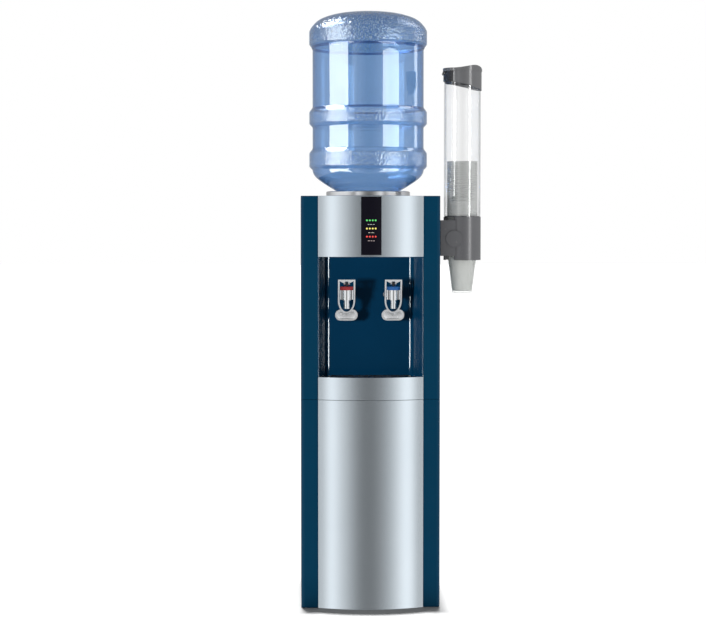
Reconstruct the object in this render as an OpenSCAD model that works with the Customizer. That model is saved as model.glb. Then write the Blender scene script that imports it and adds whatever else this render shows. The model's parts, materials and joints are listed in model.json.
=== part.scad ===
// Free-standing hot and cold water cooler with an inverted 19 litre bottle,
// two push-lever taps, a lift-out drip tray and a cup dispenser on its side.
// Millimetres. Origin: centre of the cabinet on the floor. Front faces -Y, up is +Z.

/* [Cabinet] */
// Width of the cabinet over its side panels
cab_w = 310; // [306:1:316]
// Depth of the cabinet from the flat front strips to the rear panel
cab_d = 310; // [300:1:320]
// Height of the cabinet top above the floor
cab_h = 920; // [918:1:926]
// Half width of the curved silver front panels
silver_hw = 117; // [114:1:119]
// How far the curved panels swell beyond their own edges
bulge = 22; // [16:1:26]
// Height of the edge of a curved panel over the flat strips
edge_step = 3; // [2:0.5:4]
// Height of the seam between upper and lower front
seam_z = 467.5; // [462:0.5:470]

/* [Cup niche] */
// Underside of the head panel, which is the top of the niche
niche_top = 785; // [780:1:790]
// Top of the drip grille
grille_z = 513; // [510:0.5:514]
// Y of the niche's back wall
niche_back = -72; // [-74:0.5:-71]
// Half width of the niche at its back wall
niche_back_hw = 97; // [94:1:99]
// Half width of the niche at the front
niche_front_hw = 114.8; // [112:0.2:114.8]
// Radius of the upright back corners of the niche
niche_r = 12; // [8:1:14]

/* [Taps] */
// Distance of each tap from the middle
tap_x = 52.5; // [48:0.5:56]
// Y of the nozzle axis
tap_y = -118; // [-122:1:-116]
// Height of the lever pin
pin_z = 724.5; // [723:0.5:726]
// Backward lean of the lever at rest, degrees
lever_lean = 15.5; // [13:0.5:16]
// Width over the lever frame
lever_w = 38.6; // [38:0.2:40]
// Width of the push paddle
paddle_w = 50.7; // [46:0.1:54]

/* [Drip tray] */
// Half width of the tray
tray_hw = 88; // [84:1:89]
// Floor of the tray
tray_floor_z = 480; // [479:1:486]

/* [Bottle] */
// Radius of the bottle over its widest bands
bottle_r = 135; // [133:0.5:137]
// Radius of the bottle between the bands
bottle_body_r = 127.5; // [125:0.5:130]
// Height of the bottle's highest point above the floor
bottle_top = 1341; // [1338:1:1346]
// Wall thickness of the bottle
bottle_t = 1.6; // [1.4:0.1:2]
// Radius of the bottle's neck
neck_r = 27.5; // [27:0.1:27.6]
// Y of the bottle's axis
bottle_y = -10; // [-12:1:-8]

/* [Cup dispenser] */
// X of the dispenser tube's axis
disp_x = 210.3; // [209:0.1:214]
// Y of the dispenser tube's axis
disp_y = -80; // [-84:1:-76]
// Outer radius of the clear tube
tube_r = 41.2; // [41:0.1:41.4]
// Outer radius of the grey collar
collar_r = 42; // [41.8:0.1:42.2]
// Bottom of the grey collar
collar_z0 = 776.3; // [774:0.1:778]
// Top of the grey collar
collar_z1 = 873.4; // [872:0.1:875]
// Height of the next cup's base
cup_z = 700; // [698:1:700]
// Number of cups nested above the next one
cups = 45; // [30:1:50]

/* [Hidden] */
$fn = 64;

hw = cab_w / 2;
yf = -cab_d / 2;            // flat front strips
yr = cab_d / 2;             // back of the cabinet
yc_front = yf - edge_step - bulge;                       // foremost line of the curved panels
arc_r = (silver_hw * silver_hw + bulge * bulge) / (2 * bulge);
arc_y = yc_front + arc_r;   // axis of the curved panels
panel_z0 = 1.5;             // panels end just above the floor
top_z = 905;                // top cover starts here
frame_d = 20;               // depth of the front frames
liner_t = 2.4;

teal = [0.05, 0.23, 0.32];
silver = [0.78, 0.82, 0.85];
dark = [0.12, 0.12, 0.13];
chrome = [0.85, 0.86, 0.87];
grey = [0.38, 0.38, 0.40];
steel = [0.66, 0.67, 0.68];
copper = [0.72, 0.42, 0.26];
pale = [0.88, 0.88, 0.86];

// ---------- shared shapes ----------

function fillet_pts(p0, p1, p2, r, n) =
  r <= 0 ? [p1] :
  let (v1 = (p0 - p1) / norm(p0 - p1), v2 = (p2 - p1) / norm(p2 - p1),
       ang = acos(v1 * v2), d = r / tan(ang / 2),
       c = p1 + (v1 + v2) / norm(v1 + v2) * (r / sin(ang / 2)),
       s = p1 + v1 * d, e = p1 + v2 * d,
       a0 = atan2(s[1] - c[1], s[0] - c[0]), a1 = atan2(e[1] - c[1], e[0] - c[0]),
       da = a1 - a0 > 180 ? a1 - a0 - 360 : a1 - a0 < -180 ? a1 - a0 + 360 : a1 - a0)
  [for (i = [0 : n]) c + r * [cos(a0 + da * i / n), sin(a0 + da * i / n)]];

// polygon whose corners [x, y, r] are rounded
function round_pts(pts, n = 5) =
  [for (i = [0 : len(pts) - 1])
    let (m = len(pts), a = pts[(i + m - 1) % m], b = pts[i], c = pts[(i + 1) % m])
    each fillet_pts([a[0], a[1]], [b[0], b[1]], [c[0], c[1]], b[2], n)];

function rect_pts(x0, x1, y0, y1, r, n = 5) =
  round_pts([[x0, y0, r], [x1, y0, r], [x1, y1, r], [x0, y1, r]], n);

// ring of a profile: outer points followed by the same points moved inwards by t
function inward(p, t) =
  [for (i = [0 : len(p) - 1])
    let (a = p[max(i - 1, 0)], b = p[min(i + 1, len(p) - 1)], d = (b - a) / norm(b - a))
    [max(0, p[i][0] - d[1] * t), p[i][1] + d[0] * t]];

module slab(pts, z0, z1) translate([0, 0, z0]) linear_extrude(z1 - z0) polygon(pts);
module ycyl(r, y0, y1, x, z) translate([x, y1, z]) rotate([90, 0, 0]) cylinder(r = r, h = y1 - y0);
module xcyl(r, x0, x1, y, z) translate([x0, y, z]) rotate([0, 90, 0]) cylinder(r = r, h = x1 - x0);
module zcyl(r, z0, z1, x, y) translate([x, y, z0]) cylinder(r = r, h = z1 - z0);
module box(x0, x1, y0, y1, z0, z1) translate([x0, y0, z0]) cube([x1 - x0, y1 - y0, z1 - z0]);

// a curved front panel: hollow behind, closed at its ends and sides
module arc_solid(z0, z1, w, inset)
  intersection() {
    translate([0, arc_y, z0]) cylinder(r = arc_r - inset, h = z1 - z0, $fn = 220);
    box(-w, w, yc_front - 5, yf, z0, z1);
  }

module arc_panel(z0, z1, t)
  difference() {
    arc_solid(z0, z1, silver_hw, 0);
    translate([0, 0.01, 0]) arc_solid(z0 + t, z1 - t, silver_hw - t, t);
  }

// ---------- cabinet ----------

module base_plate() color(dark)
  difference() {
    union() {
      slab(rect_pts(-151, 151, -151, 151, 12), 0, 12);
      for (x = [-55, 55], y = [15, 105]) zcyl(3, 12, 34, x, y);
    }
    slab(rect_pts(-137, 137, -137, 137, 8), -1, 6);
    for (i = [-4 : 4]) box(i * 14 - 3, i * 14 + 3, -120, -60, 5, 13);
  }

module side_sheet() {
  box(hw - 1.2, hw, yf + frame_d + 0.2, yr, panel_z0, top_z - 0.2);
  box(hw - 14, hw - 1.1, yf + frame_d + 0.2, yf + frame_d + 1.4, 12.5, top_z - 0.2);
  difference() {
    box(hw - 16, hw - 1.1, yr - 2.6, yr - 1.4, 12.5, top_z - 0.2);
    for (z = rear_screw_z) ycyl(1.9, yr - 4, yr, hw - 9, z);
  }
}

module side_panel_left() color(teal) mirror([1, 0, 0]) side_sheet();

module side_panel_right() color(teal)
  difference() {
    side_sheet();
    for (z = [800, 850]) xcyl(2.2, hw - 5, hw + 5, disp_y, z);
  }

module rear_panel() color(dark)
  difference() {
    box(-hw + 1.4, hw - 1.4, yr - 1.2, yr, 250, top_z - 0.2);
    for (s = [-1, 1], i = [0 : 13]) box(s * 70 - 42, s * 70 + 42, yr - 3, yr + 2, 520 + i * 22, 526 + i * 22);
    box(62, 120, yr - 3, yr + 2, 308, 337);
    ycyl(8.1, yr - 3, yr + 2, -100, 290);
    ycyl(9.6, yr - 3, yr + 2, -50, 392);
    for (p = rear_screw_pts) ycyl(1.9, yr - 3, yr + 2, p[0], p[1]);
  }

rear_screw_z = [262, 480, 700, 893];
rear_screw_pts = [for (s = [-1, 1], z = rear_screw_z) [s * (hw - 9), z]];

module rear_screws() color(steel)
  for (p = rear_screw_pts) {
    ycyl(1.8, yr - 9, yr + 0.5, p[0], p[1]);
    difference() {
      ycyl(3.6, yr, yr + 2.2, p[0], p[1]);
      box(p[0] - 2.6, p[0] + 2.6, yr + 1.3, yr + 3, p[1] - 0.5, p[1] + 0.5);
      box(p[0] - 0.5, p[0] + 0.5, yr + 1.3, yr + 3, p[1] - 2.6, p[1] + 2.6);
    }
  }

module top_cover() color(teal)
  difference() {
    slab(round_pts([[-hw, yf + frame_d + 0.2, 0], [hw, yf + frame_d + 0.2, 0], [hw, yr, 8], [-hw, yr, 8]]), top_z, cab_h);
    slab(round_pts([[-hw + 3, yf + frame_d + 3.2, 0], [hw - 3, yf + frame_d + 3.2, 0], [hw - 3, yr - 3, 6], [-hw + 3, yr - 3, 6]]), top_z - 1, cab_h - 3);
    zcyl(84, top_z - 2, cab_h + 2, 0, bottle_y);
  }

function frame_outline(i) =
  round_pts([[-hw + i, yf + i, 8 - i], [hw - i, yf + i, 8 - i], [hw - i, yf + frame_d + (i > 0 ? 1 : 0), 0], [-hw + i, yf + frame_d + (i > 0 ? 1 : 0), 0]]);

module front_frame_upper() color(teal)
  difference() {
    slab(frame_outline(0), seam_z + 0.3, cab_h);
    slab(frame_outline(3), seam_z + 3.3, cab_h - 3);
    box(-silver_hw - 0.3, silver_hw + 0.3, yf - 2, yf + frame_d + 2, seam_z + 6.5, niche_top + 2.4);
    box(-32, 32, yf - 2, yf + 6, 812, 884);
  }

module front_frame_lower() color(teal)
  difference() {
    slab(frame_outline(0), panel_z0, seam_z - 0.3);
    slab(frame_outline(3), panel_z0 - 1, seam_z - 3.3);
    for (x = [-90, 90], z = [40, 240, 430]) ycyl(2, yf - 2, yf + 6, x, z);
  }

module lower_front_panel() color(silver) arc_panel(panel_z0, seam_z - 0.4, 3);

module head_panel() color(silver)
  difference() {
    arc_panel(niche_top, cab_h, 3.5);
    difference() {
      box(-22.8, 22.8, yc_front - 5, yf - 6, 789, 918);
      translate([0, arc_y, 700]) cylinder(r = arc_r - 1.8, h = 300, $fn = 220);
    }
    box(-14, 14, yc_front - 5, yf - 6, 823, 872);
  }

led_x = [-9.6, -3.2, 3.2, 9.6];
led_z = [865.7, 847.6, 829.8];

module display_window() color(dark)
  difference() {
    intersection() {
      translate([0, arc_y, 700]) cylinder(r = arc_r - 0.3, h = 300, $fn = 220);
      box(-22.4, 22.4, yc_front - 5, yf - 6, 789.4, 917.6);
    }
    translate([0, arc_y, 700]) cylinder(r = arc_r - 1.7, h = 300, $fn = 220);
    for (x = led_x, z = led_z) ycyl(2.15, yc_front - 5, yf - 6, x, z);
  }

module led_board() color([0.1, 0.4, 0.2]) {
  difference() {
    box(-24, 24, yc_front + 8.4, yc_front + 10, 814, 882);
    for (x = [-19, 19], z = [820, 876]) ycyl(1.6, yc_front + 5, yc_front + 12, x, z);
  }
  box(-8, 8, yc_front + 10, yc_front + 16, 816, 822);
  for (x = [-19, 19], z = [820, 876])
    difference() {
      ycyl(3.2, yc_front + 10, yf - 0.1, x, z);
      ycyl(1.5, yc_front + 9, yf + 1, x, z);
    }
}

module led_row(z)
  for (x = led_x) {
    ycyl(2, yc_front + 0.6, yc_front + 8.3, x, z);
    translate([x, yc_front + 0.6, z]) rotate([90, 0, 0]) cylinder(r1 = 2, r2 = 1.3, h = 0.5);
  }
module led_green() color("limegreen") led_row(led_z[0]);
module led_yellow() color("gold") led_row(led_z[1]);
module led_red() color("red") led_row(led_z[2]);

// ---------- niche and tray ----------

function liner_outline(t) =
  round_pts([[-niche_front_hw - t, yf, 0], [-niche_back_hw - t, niche_back + t, niche_r + t],
             [niche_back_hw + t, niche_back + t, niche_r + t], [niche_front_hw + t, yf, 0]], 8);

// outline of the tray, grown by g all round; its front follows the curved fascia
function tray_outline(g) =
  let (w = tray_hw + g, yb = niche_back - 5.5 + g, r = arc_r - 9 + g, a = asin(w / r), n = 14)
  round_pts(concat([[w, yb, 9], [-w, yb, 9]],
    [for (i = [0 : n]) let (t = -a + 2 * a * i / n) [r * sin(t), arc_y - r * cos(t), 0]]), 6);

module niche_liner() color(teal)
  difference() {
    slab(liner_outline(liner_t), grille_z - liner_t, niche_top + 2.2);
    difference() {
      translate([0, -1, 0]) slab(concat([[-niche_front_hw - 0.2, yf - 2], [-niche_front_hw, yf + 1]], [for (i = [1 : len(liner_outline(0)) - 2]) liner_outline(0)[i] + [0, 1]], [[niche_front_hw, yf + 1], [niche_front_hw + 0.2, yf - 2]]), grille_z, niche_top - 0.2);
    }
    slab(tray_outline(3.2), grille_z - 5, grille_z + 0.1);
    for (s = [-1, 1]) ycyl(8.3, niche_back - 4, niche_back + 6, s * tap_x, 699.5);
  }

module tray_fascia() color(silver) {
  difference() {
    arc_panel(seam_z + 0.4, grille_z + 4.8, 3);
    slab(tray_outline(1.4), grille_z, grille_z + 10);
  }
  for (s = [-1, 1]) box(s > 0 ? silver_hw - 8 : -silver_hw, s > 0 ? silver_hw : -silver_hw + 8, yf - 0.2, yf + 5, seam_z + 12, grille_z - 4);
}

module tray_housing() color(dark)
  difference() {
    union() {
      slab(tray_outline(3), tray_floor_z - 5.5, grille_z + 0.2);
      slab(tray_outline(5), grille_z + 0.1, grille_z + 1.2);
    }
    slab(tray_outline(1), tray_floor_z - 3.3, grille_z + 3);
  }

module drip_tray() color(dark)
  difference() {
    slab(tray_outline(0), tray_floor_z - 3, grille_z);
    slab(tray_outline(-2.4), tray_floor_z - 1, grille_z + 1);
    slab(tray_outline(-1.1), grille_z - 2.9, grille_z + 1);
  }

module drip_grille() color([0.2, 0.21, 0.23])
  difference() {
    slab(tray_outline(-1.4), grille_z - 2.8, grille_z);
    for (s = [-1, 1], i = [0 : 8]) box(s > 0 ? 4 : -78, s > 0 ? 78 : -4, -89 - i * 8, -85.2 - i * 8, grille_z - 4, grille_z + 1);
    zcyl(5, grille_z - 4, grille_z + 1, 0, -162);
  }

// ---------- bottle seat ----------

module bottle_collar() color(silver) translate([0, bottle_y, 0]) rotate_extrude($fn = 120)
  polygon([[80, cab_h], [106.5, cab_h], [106.5, 921.4], [105.5, 922], [96.2, 922.4], [96.2, 930], [95, 931.6], [93, 932.3], [81.5, 932.3], [80, 931]]);

module bottle_receiver() color(pale) translate([0, bottle_y, 0]) {
  difference() {
    rotate_extrude($fn = 120)
      polygon([[0, 836], [12, 836], [36.5, 836], [36.5, 902], [70, 924.5], [71, 926], [71, 931.6], [72.2, 932.2], [73.8, 932.2],
               [74.8, 931.5], [79.6, 930.5], [79.6, 921], [74.5, 921], [74.5, 919], [38.9, 895], [38.9, 833.5], [0, 833.5]]);
    for (a = [0 : 60 : 300]) rotate([0, 0, a]) zcyl(2.5, 830, 840, 24, 0);
    zcyl(5.5, 830, 840, 0, 0);
  }
}

module feed_probe() color(pale) translate([0, bottle_y, 0])
  difference() {
    union() {
      zcyl(12, 836.2, 840, 0, 0);
      zcyl(9, 839, 893, 0, 0);
      translate([0, 0, 893]) cylinder(r1 = 9, r2 = 5, h = 6);
    }
    zcyl(6.2, 835, 890, 0, 0);
    for (a = [0, 90]) rotate([0, 0, a]) box(-2.5, 2.5, -12, 12, 872, 886);
  }

// ---------- bottle ----------

bottle_prof = [
  [neck_r, 849], [neck_r, 896], [neck_r + 1, 901], [34, 907], [50, 918.6], [62, 926.2], [74.5, 934], [87, 941.4], [99, 948.8],
  [110, 956.3], [119, 963.8], [124.5, 971], [127.2, 977.5], [bottle_body_r + 0.3, 981.3], [131.5, 985], [134.2, 988.2], [bottle_r, 991.5], [bottle_r, 1017],
  [134.2, 1020.5], [131.5, 1024.5], [bottle_body_r + 0.3, 1029.5], [bottle_body_r, 1034], [bottle_body_r, 1075],
  [bottle_body_r + 0.3, 1078.8], [131.5, 1083], [134.2, 1086.4], [bottle_r, 1089.5], [bottle_r, 1111], [134.2, 1114.5], [131.5, 1118.5],
  [bottle_body_r + 0.3, 1123.3], [bottle_body_r, 1128], [bottle_body_r, 1253], [bottle_body_r + 0.4, 1257.5], [130.6, 1262.5], [133.8, 1267], [bottle_r, 1271],
  [bottle_r, 1294], [134.2, 1299], [131, 1305.3], [126.4, 1311.2], [119, 1318.8], [109, 1325.2], [95, 1330.6], [81, 1334.4], [66, 1337.2],
  [45, 1339.6], [22, 1340.7], [0, bottle_top]];

module bottle() color([0.55, 0.72, 0.92, 0.5]) translate([0, bottle_y, 0]) {
  inner = inward(bottle_prof, bottle_t);
  n = len(bottle_prof);
  rotate_extrude($fn = 120)
    polygon(concat(bottle_prof, [for (i = [n - 1 : -1 : 0]) [i == n - 1 ? 0 : inner[i][0], i == n - 1 ? bottle_top - bottle_t : i == 0 ? 849 : inner[i][1]]]));
  translate([0, 0, 876]) rotate_extrude($fn = 96) polygon([[neck_r - 0.2, 0], [31, 0.8], [31, 2.6], [neck_r - 0.2, 3.6]]);
}

module bottle_cap() color([0.85, 0.9, 0.96]) translate([0, bottle_y, 0])
  rotate_extrude($fn = 96)
    polygon([[10, 845.6], [28.6, 845.6], [29.6, 846.6], [29.6, 872], [neck_r, 872], [neck_r, 848.4], [12, 848.4], [11.6, 864], [10, 864]]);

// ---------- taps ----------

// levers hang from the plunger pin and push backwards
body_z0 = 686.9;
body_z1 = 709.5;
ring_z1 = 717.9;

module tap_body(x) color(chrome)
  difference() {
    union() {
      zcyl(6.35, 667.9, body_z0 + 0.1, x, tap_y);
      zcyl(9.5, body_z0, body_z1, x, tap_y);
      slab([for (p = rect_pts(-15.2, 15.2, -3.6, 3.6, 3)) p + [x, tap_y]], body_z0 + 1.5, body_z1);
      ycyl(8, tap_y, niche_back + 26, x, 699.5);
      ycyl(13, niche_back - 3.6, niche_back - 0.2, x, 699.5);
    }
    zcyl(4.2, 666, 693.5, x, tap_y);
    zcyl(7, 692.5, body_z1 + 1, x, tap_y);
    ycyl(4.6, tap_y, niche_back + 27, x, 700.5);
  }

module tap_ring(x)
  difference() {
    zcyl(15, body_z1, ring_z1, x, tap_y);
    zcyl(7, body_z1 - 1, 714.7, x, tap_y);
    zcyl(3.05, 702, 722, x, tap_y);
  }

module tap_plunger(x) color(chrome)
  union() {
    zcyl(6, 692.8, 695.8, x, tap_y);
    zcyl(3, 694.5, pin_z + 3, x, tap_y);
    xcyl(1.6, x - 7.2, x + 7.2, tap_y, pin_z);
  }

function oval(a, b, w, s, n) = [for (i = [0 : n]) let (t = 180 * i / n) [s * a * cos(t), w - b * sin(t)]];

module lever_face() {
  a = lever_w / 2;
  b = a - 3.6;
  difference() {
    polygon(concat([[-a, 9.4], [a, 9.4]], oval(a, 30, -39.4, 1, 16)));
    polygon(concat([[-b, 6.4], [b, 6.4]], oval(b, 26.8, -39.4, 1, 16)));
  }
  polygon([[-b - 0.2, 7], [-b, 6.2], [-6.8, 1.5], [-6.8, -1], [-3.3, -1], [-3.3, 5.2], [3.3, 5.2], [3.3, -1], [6.8, -1], [6.8, 1.5], [b, 6.2], [b + 0.2, 7]]);
  difference() {
    polygon(paddle_pts(0));
    polygon(concat([[-b, -30], [b, -30]], oval(b, 26.8, -39.4, 1, 16)));
  }
}

function paddle_pts(i) =
  round_pts([[-paddle_w / 2 + i, -61 - i, 12.4 - i], [paddle_w / 2 - i, -61 - i, 12.4 - i],
             [paddle_w / 2 - i, -87 + i, 12.4 - i], [-paddle_w / 2 + i, -87 + i, 12.4 - i]], 8);

module tap_lever(x) color(chrome)
  translate([x, tap_y, pin_z]) rotate([lever_lean, 0, 0])
    difference() {
      union() {
        translate([0, 2.5, 0]) rotate([90, 0, 0]) linear_extrude(5) lever_face();
        for (s = [-1, 1]) xcyl(4, s > 0 ? 3.3 : -6.8, s > 0 ? 6.8 : -3.3, 0, 0);
      }
      xcyl(1.65, -9, 9, 0, 0);
      translate([0, -1.3, 0]) rotate([90, 0, 0]) linear_extrude(3)
        difference() {
          polygon(paddle_pts(3));
          polygon(concat([[-lever_w / 2, -30], [lever_w / 2, -30]], oval(lever_w / 2, 30, -39.4, 1, 16)));
        }
    }

module tap_spring(x) color(steel)
  translate([x, tap_y, 696.2]) {
    linear_extrude(height = 18, twist = -360 * 5, slices = 70) translate([4.9, 0]) circle(r = 0.6, $fn = 8);
  }

module tap_body_hot() tap_body(-tap_x);
// the cold tap carries a small round button on the left of its shank
module tap_body_cold() color(chrome) {
  tap_body(tap_x);
  ycyl(7.4, tap_y + 21, tap_y + 25, tap_x - 14.7, 699.5);
  box(tap_x - 12, tap_x - 6.4, tap_y + 21, tap_y + 25, 694.6, 704.4);
}
module tap_ring_hot() color("firebrick") tap_ring(-tap_x);
module tap_ring_cold() color("royalblue") tap_ring(tap_x);
module tap_plunger_hot() tap_plunger(-tap_x);
module tap_plunger_cold() tap_plunger(tap_x);
module tap_lever_hot() tap_lever(-tap_x);
module tap_lever_cold() tap_lever(tap_x);
module tap_spring_hot() tap_spring(-tap_x);
module tap_spring_cold() tap_spring(tap_x);

module tap_nuts() color(pale)
  for (s = [-1, 1])
    difference() {
      translate([s * tap_x, niche_back + 9.5, 699.5]) rotate([90, 0, 0]) cylinder(r = 15, h = 6.9, $fn = 6);
      ycyl(8, niche_back, niche_back + 12, s * tap_x, 699.5);
    }

// ---------- water circuit ----------

tank_y = 38;
hot_x = -50;
hot_y = 60;

module cold_tank() color(steel)
  difference() {
    union() {
      zcyl(58, 650, 828, 0, tank_y);
      translate([0, tank_y, 642]) cylinder(r1 = 50, r2 = 58, h = 8.01);
      zcyl(13, 827, 833.3, 0, bottle_y);
    }
    zcyl(57, 650, 827, 0, tank_y);
    zcyl(5.5, 820, 840, 0, bottle_y);
    ycyl(6, -40, 30, tap_x, 699.5);
    zcyl(5, 640, 652, -20, 50);
  }

module cold_insulation() color([0.95, 0.95, 0.93])
  difference() {
    slab(rect_pts(-92, 92, -36, 122, 16), 612, 833);
    zcyl(66, 640, 834, 0, tank_y);
    zcyl(40.5, 832, 840, 0, bottle_y);
    ycyl(6.6, -50, 10, tap_x, 699.5);
    zcyl(5.6, 600, 650, -20, 50);
    zcyl(4, 600, 650, 0, tank_y + 61.8);
  }

module evaporator_coil() color(copper)
  translate([0, tank_y, 0]) {
    for (i = [0 : 6]) translate([0, 0, 669.5 + i * 20]) rotate_extrude($fn = 96) translate([61.8, 0]) circle(r = 3);
    zcyl(2.6, 193.2, 789.5, 0, 61.8);
  }

module hot_tank() color(steel)
  difference() {
    union() {
      zcyl(45, 430, 562, hot_x, hot_y);
      translate([hot_x, hot_y, 562]) cylinder(r1 = 45, r2 = 36, h = 8);
      translate([hot_x, hot_y, 422]) cylinder(r1 = 36, r2 = 45, h = 8);
    }
    zcyl(44, 431, 561, hot_x, hot_y);
    zcyl(5, 555, 575, -20, 50);
    zcyl(6, 415, 435, hot_x, hot_y);
    ycyl(6, -20, 40, -tap_x, 545);
  }

module heater_and_thermostats() color(copper) {
  for (z = [505, 530]) {
    xcyl(8, hot_x + 45.1, hot_x + 51, hot_y, z);
    xcyl(5, hot_x + 51, hot_x + 58, hot_y, z);
  }
  difference() {
    union() {
      zcyl(48.5, 446, 486, hot_x, hot_y);
      box(hot_x - 8, hot_x + 8, hot_y + 44, hot_y + 56, 452, 480);
    }
    zcyl(45.2, 440, 490, hot_x, hot_y);
    box(hot_x - 1.2, hot_x + 1.2, hot_y + 40, hot_y + 60, 440, 490);
  }
}

module elbow(x, y, z, r, s) // quarter bend in the YZ plane
  translate([x, y, z]) rotate([0, -90, 0]) rotate([0, 0, s]) rotate_extrude(angle = 90, $fn = 48) translate([r, 0]) circle(r = 5.6);

module water_hoses() color([0.92, 0.92, 0.9, 0.8]) {
  // cold tank to cold tap
  difference() {
    ycyl(5.9, niche_back + 26.2, 12, tap_x, 699.5);
    ycyl(4.2, niche_back + 25, 13, tap_x, 699.5);
  }
  // hot tank to hot tap, down the gap in front of the insulation
  zcyl(5.6, 557, 687.5, -tap_x, -46 + 0.4);
  difference() {
    zcyl(8.6, 687.5, 709.5, -tap_x, -45.6);
    ycyl(8.05, -60, niche_back + 26.1, -tap_x, 699.5);
  }
  ycyl(5.6, -33.6, 18, -tap_x, 545);
  elbow(-tap_x, -33.6, 557, 12, 180);
  // cold tank to hot tank
  zcyl(4.8, 568, 645, -20, 50);
}

module drain_pipe() color(pale) {
  difference() {
    union() {
      zcyl(8, 404, 421.8, hot_x, hot_y);
      ycyl(8, hot_y - 8, yr + 8, hot_x, 392);
      zcyl(8, 392, 405, hot_x, hot_y);
      ycyl(12, yr + 0.2, yr + 2.2, hot_x, 392);
    }
    ycyl(5.4, hot_y, yr + 9, hot_x, 392);
    zcyl(5, 392, 425, hot_x, hot_y);
  }
}

module drain_cap() color("firebrick")
  difference() {
    union() {
      ycyl(12, yr + 2.6, yr + 15, hot_x, 392);
      for (a = [0 : 30 : 330]) translate([hot_x, 0, 392]) rotate([0, a, 0]) box(-1, 1, yr + 4, yr + 14.4, 11.5, 12.8);
    }
    ycyl(8.3, yr + 2, yr + 9, hot_x, 392);
  }

// ---------- cooling machine ----------

comp_y = 60;

module compressor() color(dark)
  difference() {
    union() {
      translate([0, comp_y, 0]) rotate_extrude($fn = 96)
        polygon([[0, 42], [40, 43], [56, 50], [65, 62], [68, 78], [68, 112], [70.5, 112], [70.5, 118], [68, 118], [68, 150],
                 [64, 168], [54, 182], [36, 190], [0, 192], [0, 186], [34, 184], [50, 177], [59, 165], [63, 149], [63, 79], [60, 64], [53, 54], [39, 48], [0, 47]]);
      difference() {
        slab(rect_pts(-66, 66, comp_y - 56, comp_y + 56, 14), 34.2, 38);
        for (x = [-55, 55], y = [15, 105]) zcyl(7, 30, 40, x, y);
      }
      for (x = [-30, 30]) zcyl(6, 37, 52, x, comp_y);
      zcyl(4, 180, 193, 0, 99.8);
      zcyl(4, 172, 193, 40, 82);
      box(60, 84, comp_y - 20, comp_y + 20, 92, 140);
    }
    box(66, 82, comp_y - 18, comp_y + 18, 94, 138);
  }

module compressor_grommets() color([0.08, 0.08, 0.08])
  for (x = [-55, 55], y = [15, 105])
    difference() {
      union() {
        zcyl(10, 12.1, 34, x, y);
        zcyl(6.8, 33, 39, x, y);
        zcyl(10, 38.2, 42, x, y);
      }
      zcyl(3.2, 10, 45, x, y);
    }

cond_z = 430;
cond_p = 46;
cond_y = yr + 9;

module condenser() color(dark) {
  n = 9;
  xcyl(2.4, 40, 120, cond_y, cond_z);
  for (i = [1 : n]) xcyl(2.4, -120, 120, cond_y, cond_z + i * cond_p);
  for (i = [0 : n - 1]) {
    s = i % 2 == 0 ? 1 : -1;
    translate([s * 120, cond_y, cond_z + cond_p / 2 + i * cond_p]) rotate([90, 0, 0]) rotate([0, 0, s > 0 ? -90 : 90])
      rotate_extrude(angle = 180, $fn = 48) translate([cond_p / 2, 0]) circle(r = 2.4);
  }
  for (x = [-100, -60, -20, 20, 60, 100]) box(x - 0.8, x + 0.8, cond_y + 1.6, cond_y + 3.2, cond_z - 10, cond_z + n * cond_p + 10);
  for (x = [-80, -40, 0, 40, 80]) box(x - 0.8, x + 0.8, cond_y - 3.2, cond_y - 1.6, cond_z - 10, cond_z + n * cond_p + 10);
  for (x = [-110, 110]) {
    box(x - 1.2, x + 1.2, cond_y - 2.6, cond_y - 1, cond_z + 10, cond_z + n * cond_p);
    for (z = [cond_z + 18, cond_z + 370])
      difference() {
        box(x - 6, x + 6, yr + 0.2, yr + 7.6, z, z + 12);
        box(x - 4.8, x + 4.8, yr + 1.4, yr + 6.2, z - 2, z + 14);
      }
  }
  translate([40, cond_y, cond_z]) sphere(r = 2.4);
  zcyl(2.4, cond_z - 10, cond_z, 40, cond_y);
  translate([-120, cond_y, cond_z + n * cond_p]) sphere(r = 2.4);
}

module refrigerant_lines() color(copper) {
  n = 9;
  // hot gas line up from the compressor
  zcyl(2.4, 216, cond_z - 10.2, 40, cond_y);
  translate([40, cond_y, 216]) sphere(r = 2.4);
  ycyl(2.4, 82, cond_y, 40, 216);
  translate([40, 82, 216]) sphere(r = 2.4);
  zcyl(2.4, 193.1, 216, 40, 82);
  // liquid line down past the open lower back
  xcyl(1.5, -148, -122.6, cond_y, cond_z + n * cond_p);
  zcyl(1.5, 236, cond_z + n * cond_p, -148, cond_y);
  translate([-148, cond_y, cond_z + n * cond_p]) sphere(r = 1.5);
  translate([-148, cond_y, 236]) sphere(r = 1.5);
  xcyl(1.5, -148, -134, cond_y, 236);
  translate([-134, cond_y, 236]) sphere(r = 1.5);
  ycyl(1.5, 130, cond_y, -134, 236);
  // filter drier at its end
  translate([-134, 130, 236]) rotate([90, 0, 0]) cylinder(r1 = 3, r2 = 9, h = 8);
  ycyl(9, 52, 122.1, -134, 236);
}

// ---------- rear services ----------

sw_z = 322.5;
sw_x = [76.5, 105.5];

module switch_bezel() color(dark)
  difference() {
    union() {
      translate([0, yr + 2.6, 0]) rotate([90, 0, 0]) linear_extrude(2.5) polygon(rect_pts(58, 124, 304, 341, 3));
      box(62.4, 119.6, yr - 24, yr + 0.2, 308.4, 336.6);
    }
    for (x = sw_x) {
      box(x - 9, x + 9, yr - 21, yr + 5, sw_z - 12.4, sw_z + 12.4);
      xcyl(1.55, x - 11, x + 11, yr - 3, sw_z);
    }
  }

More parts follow.
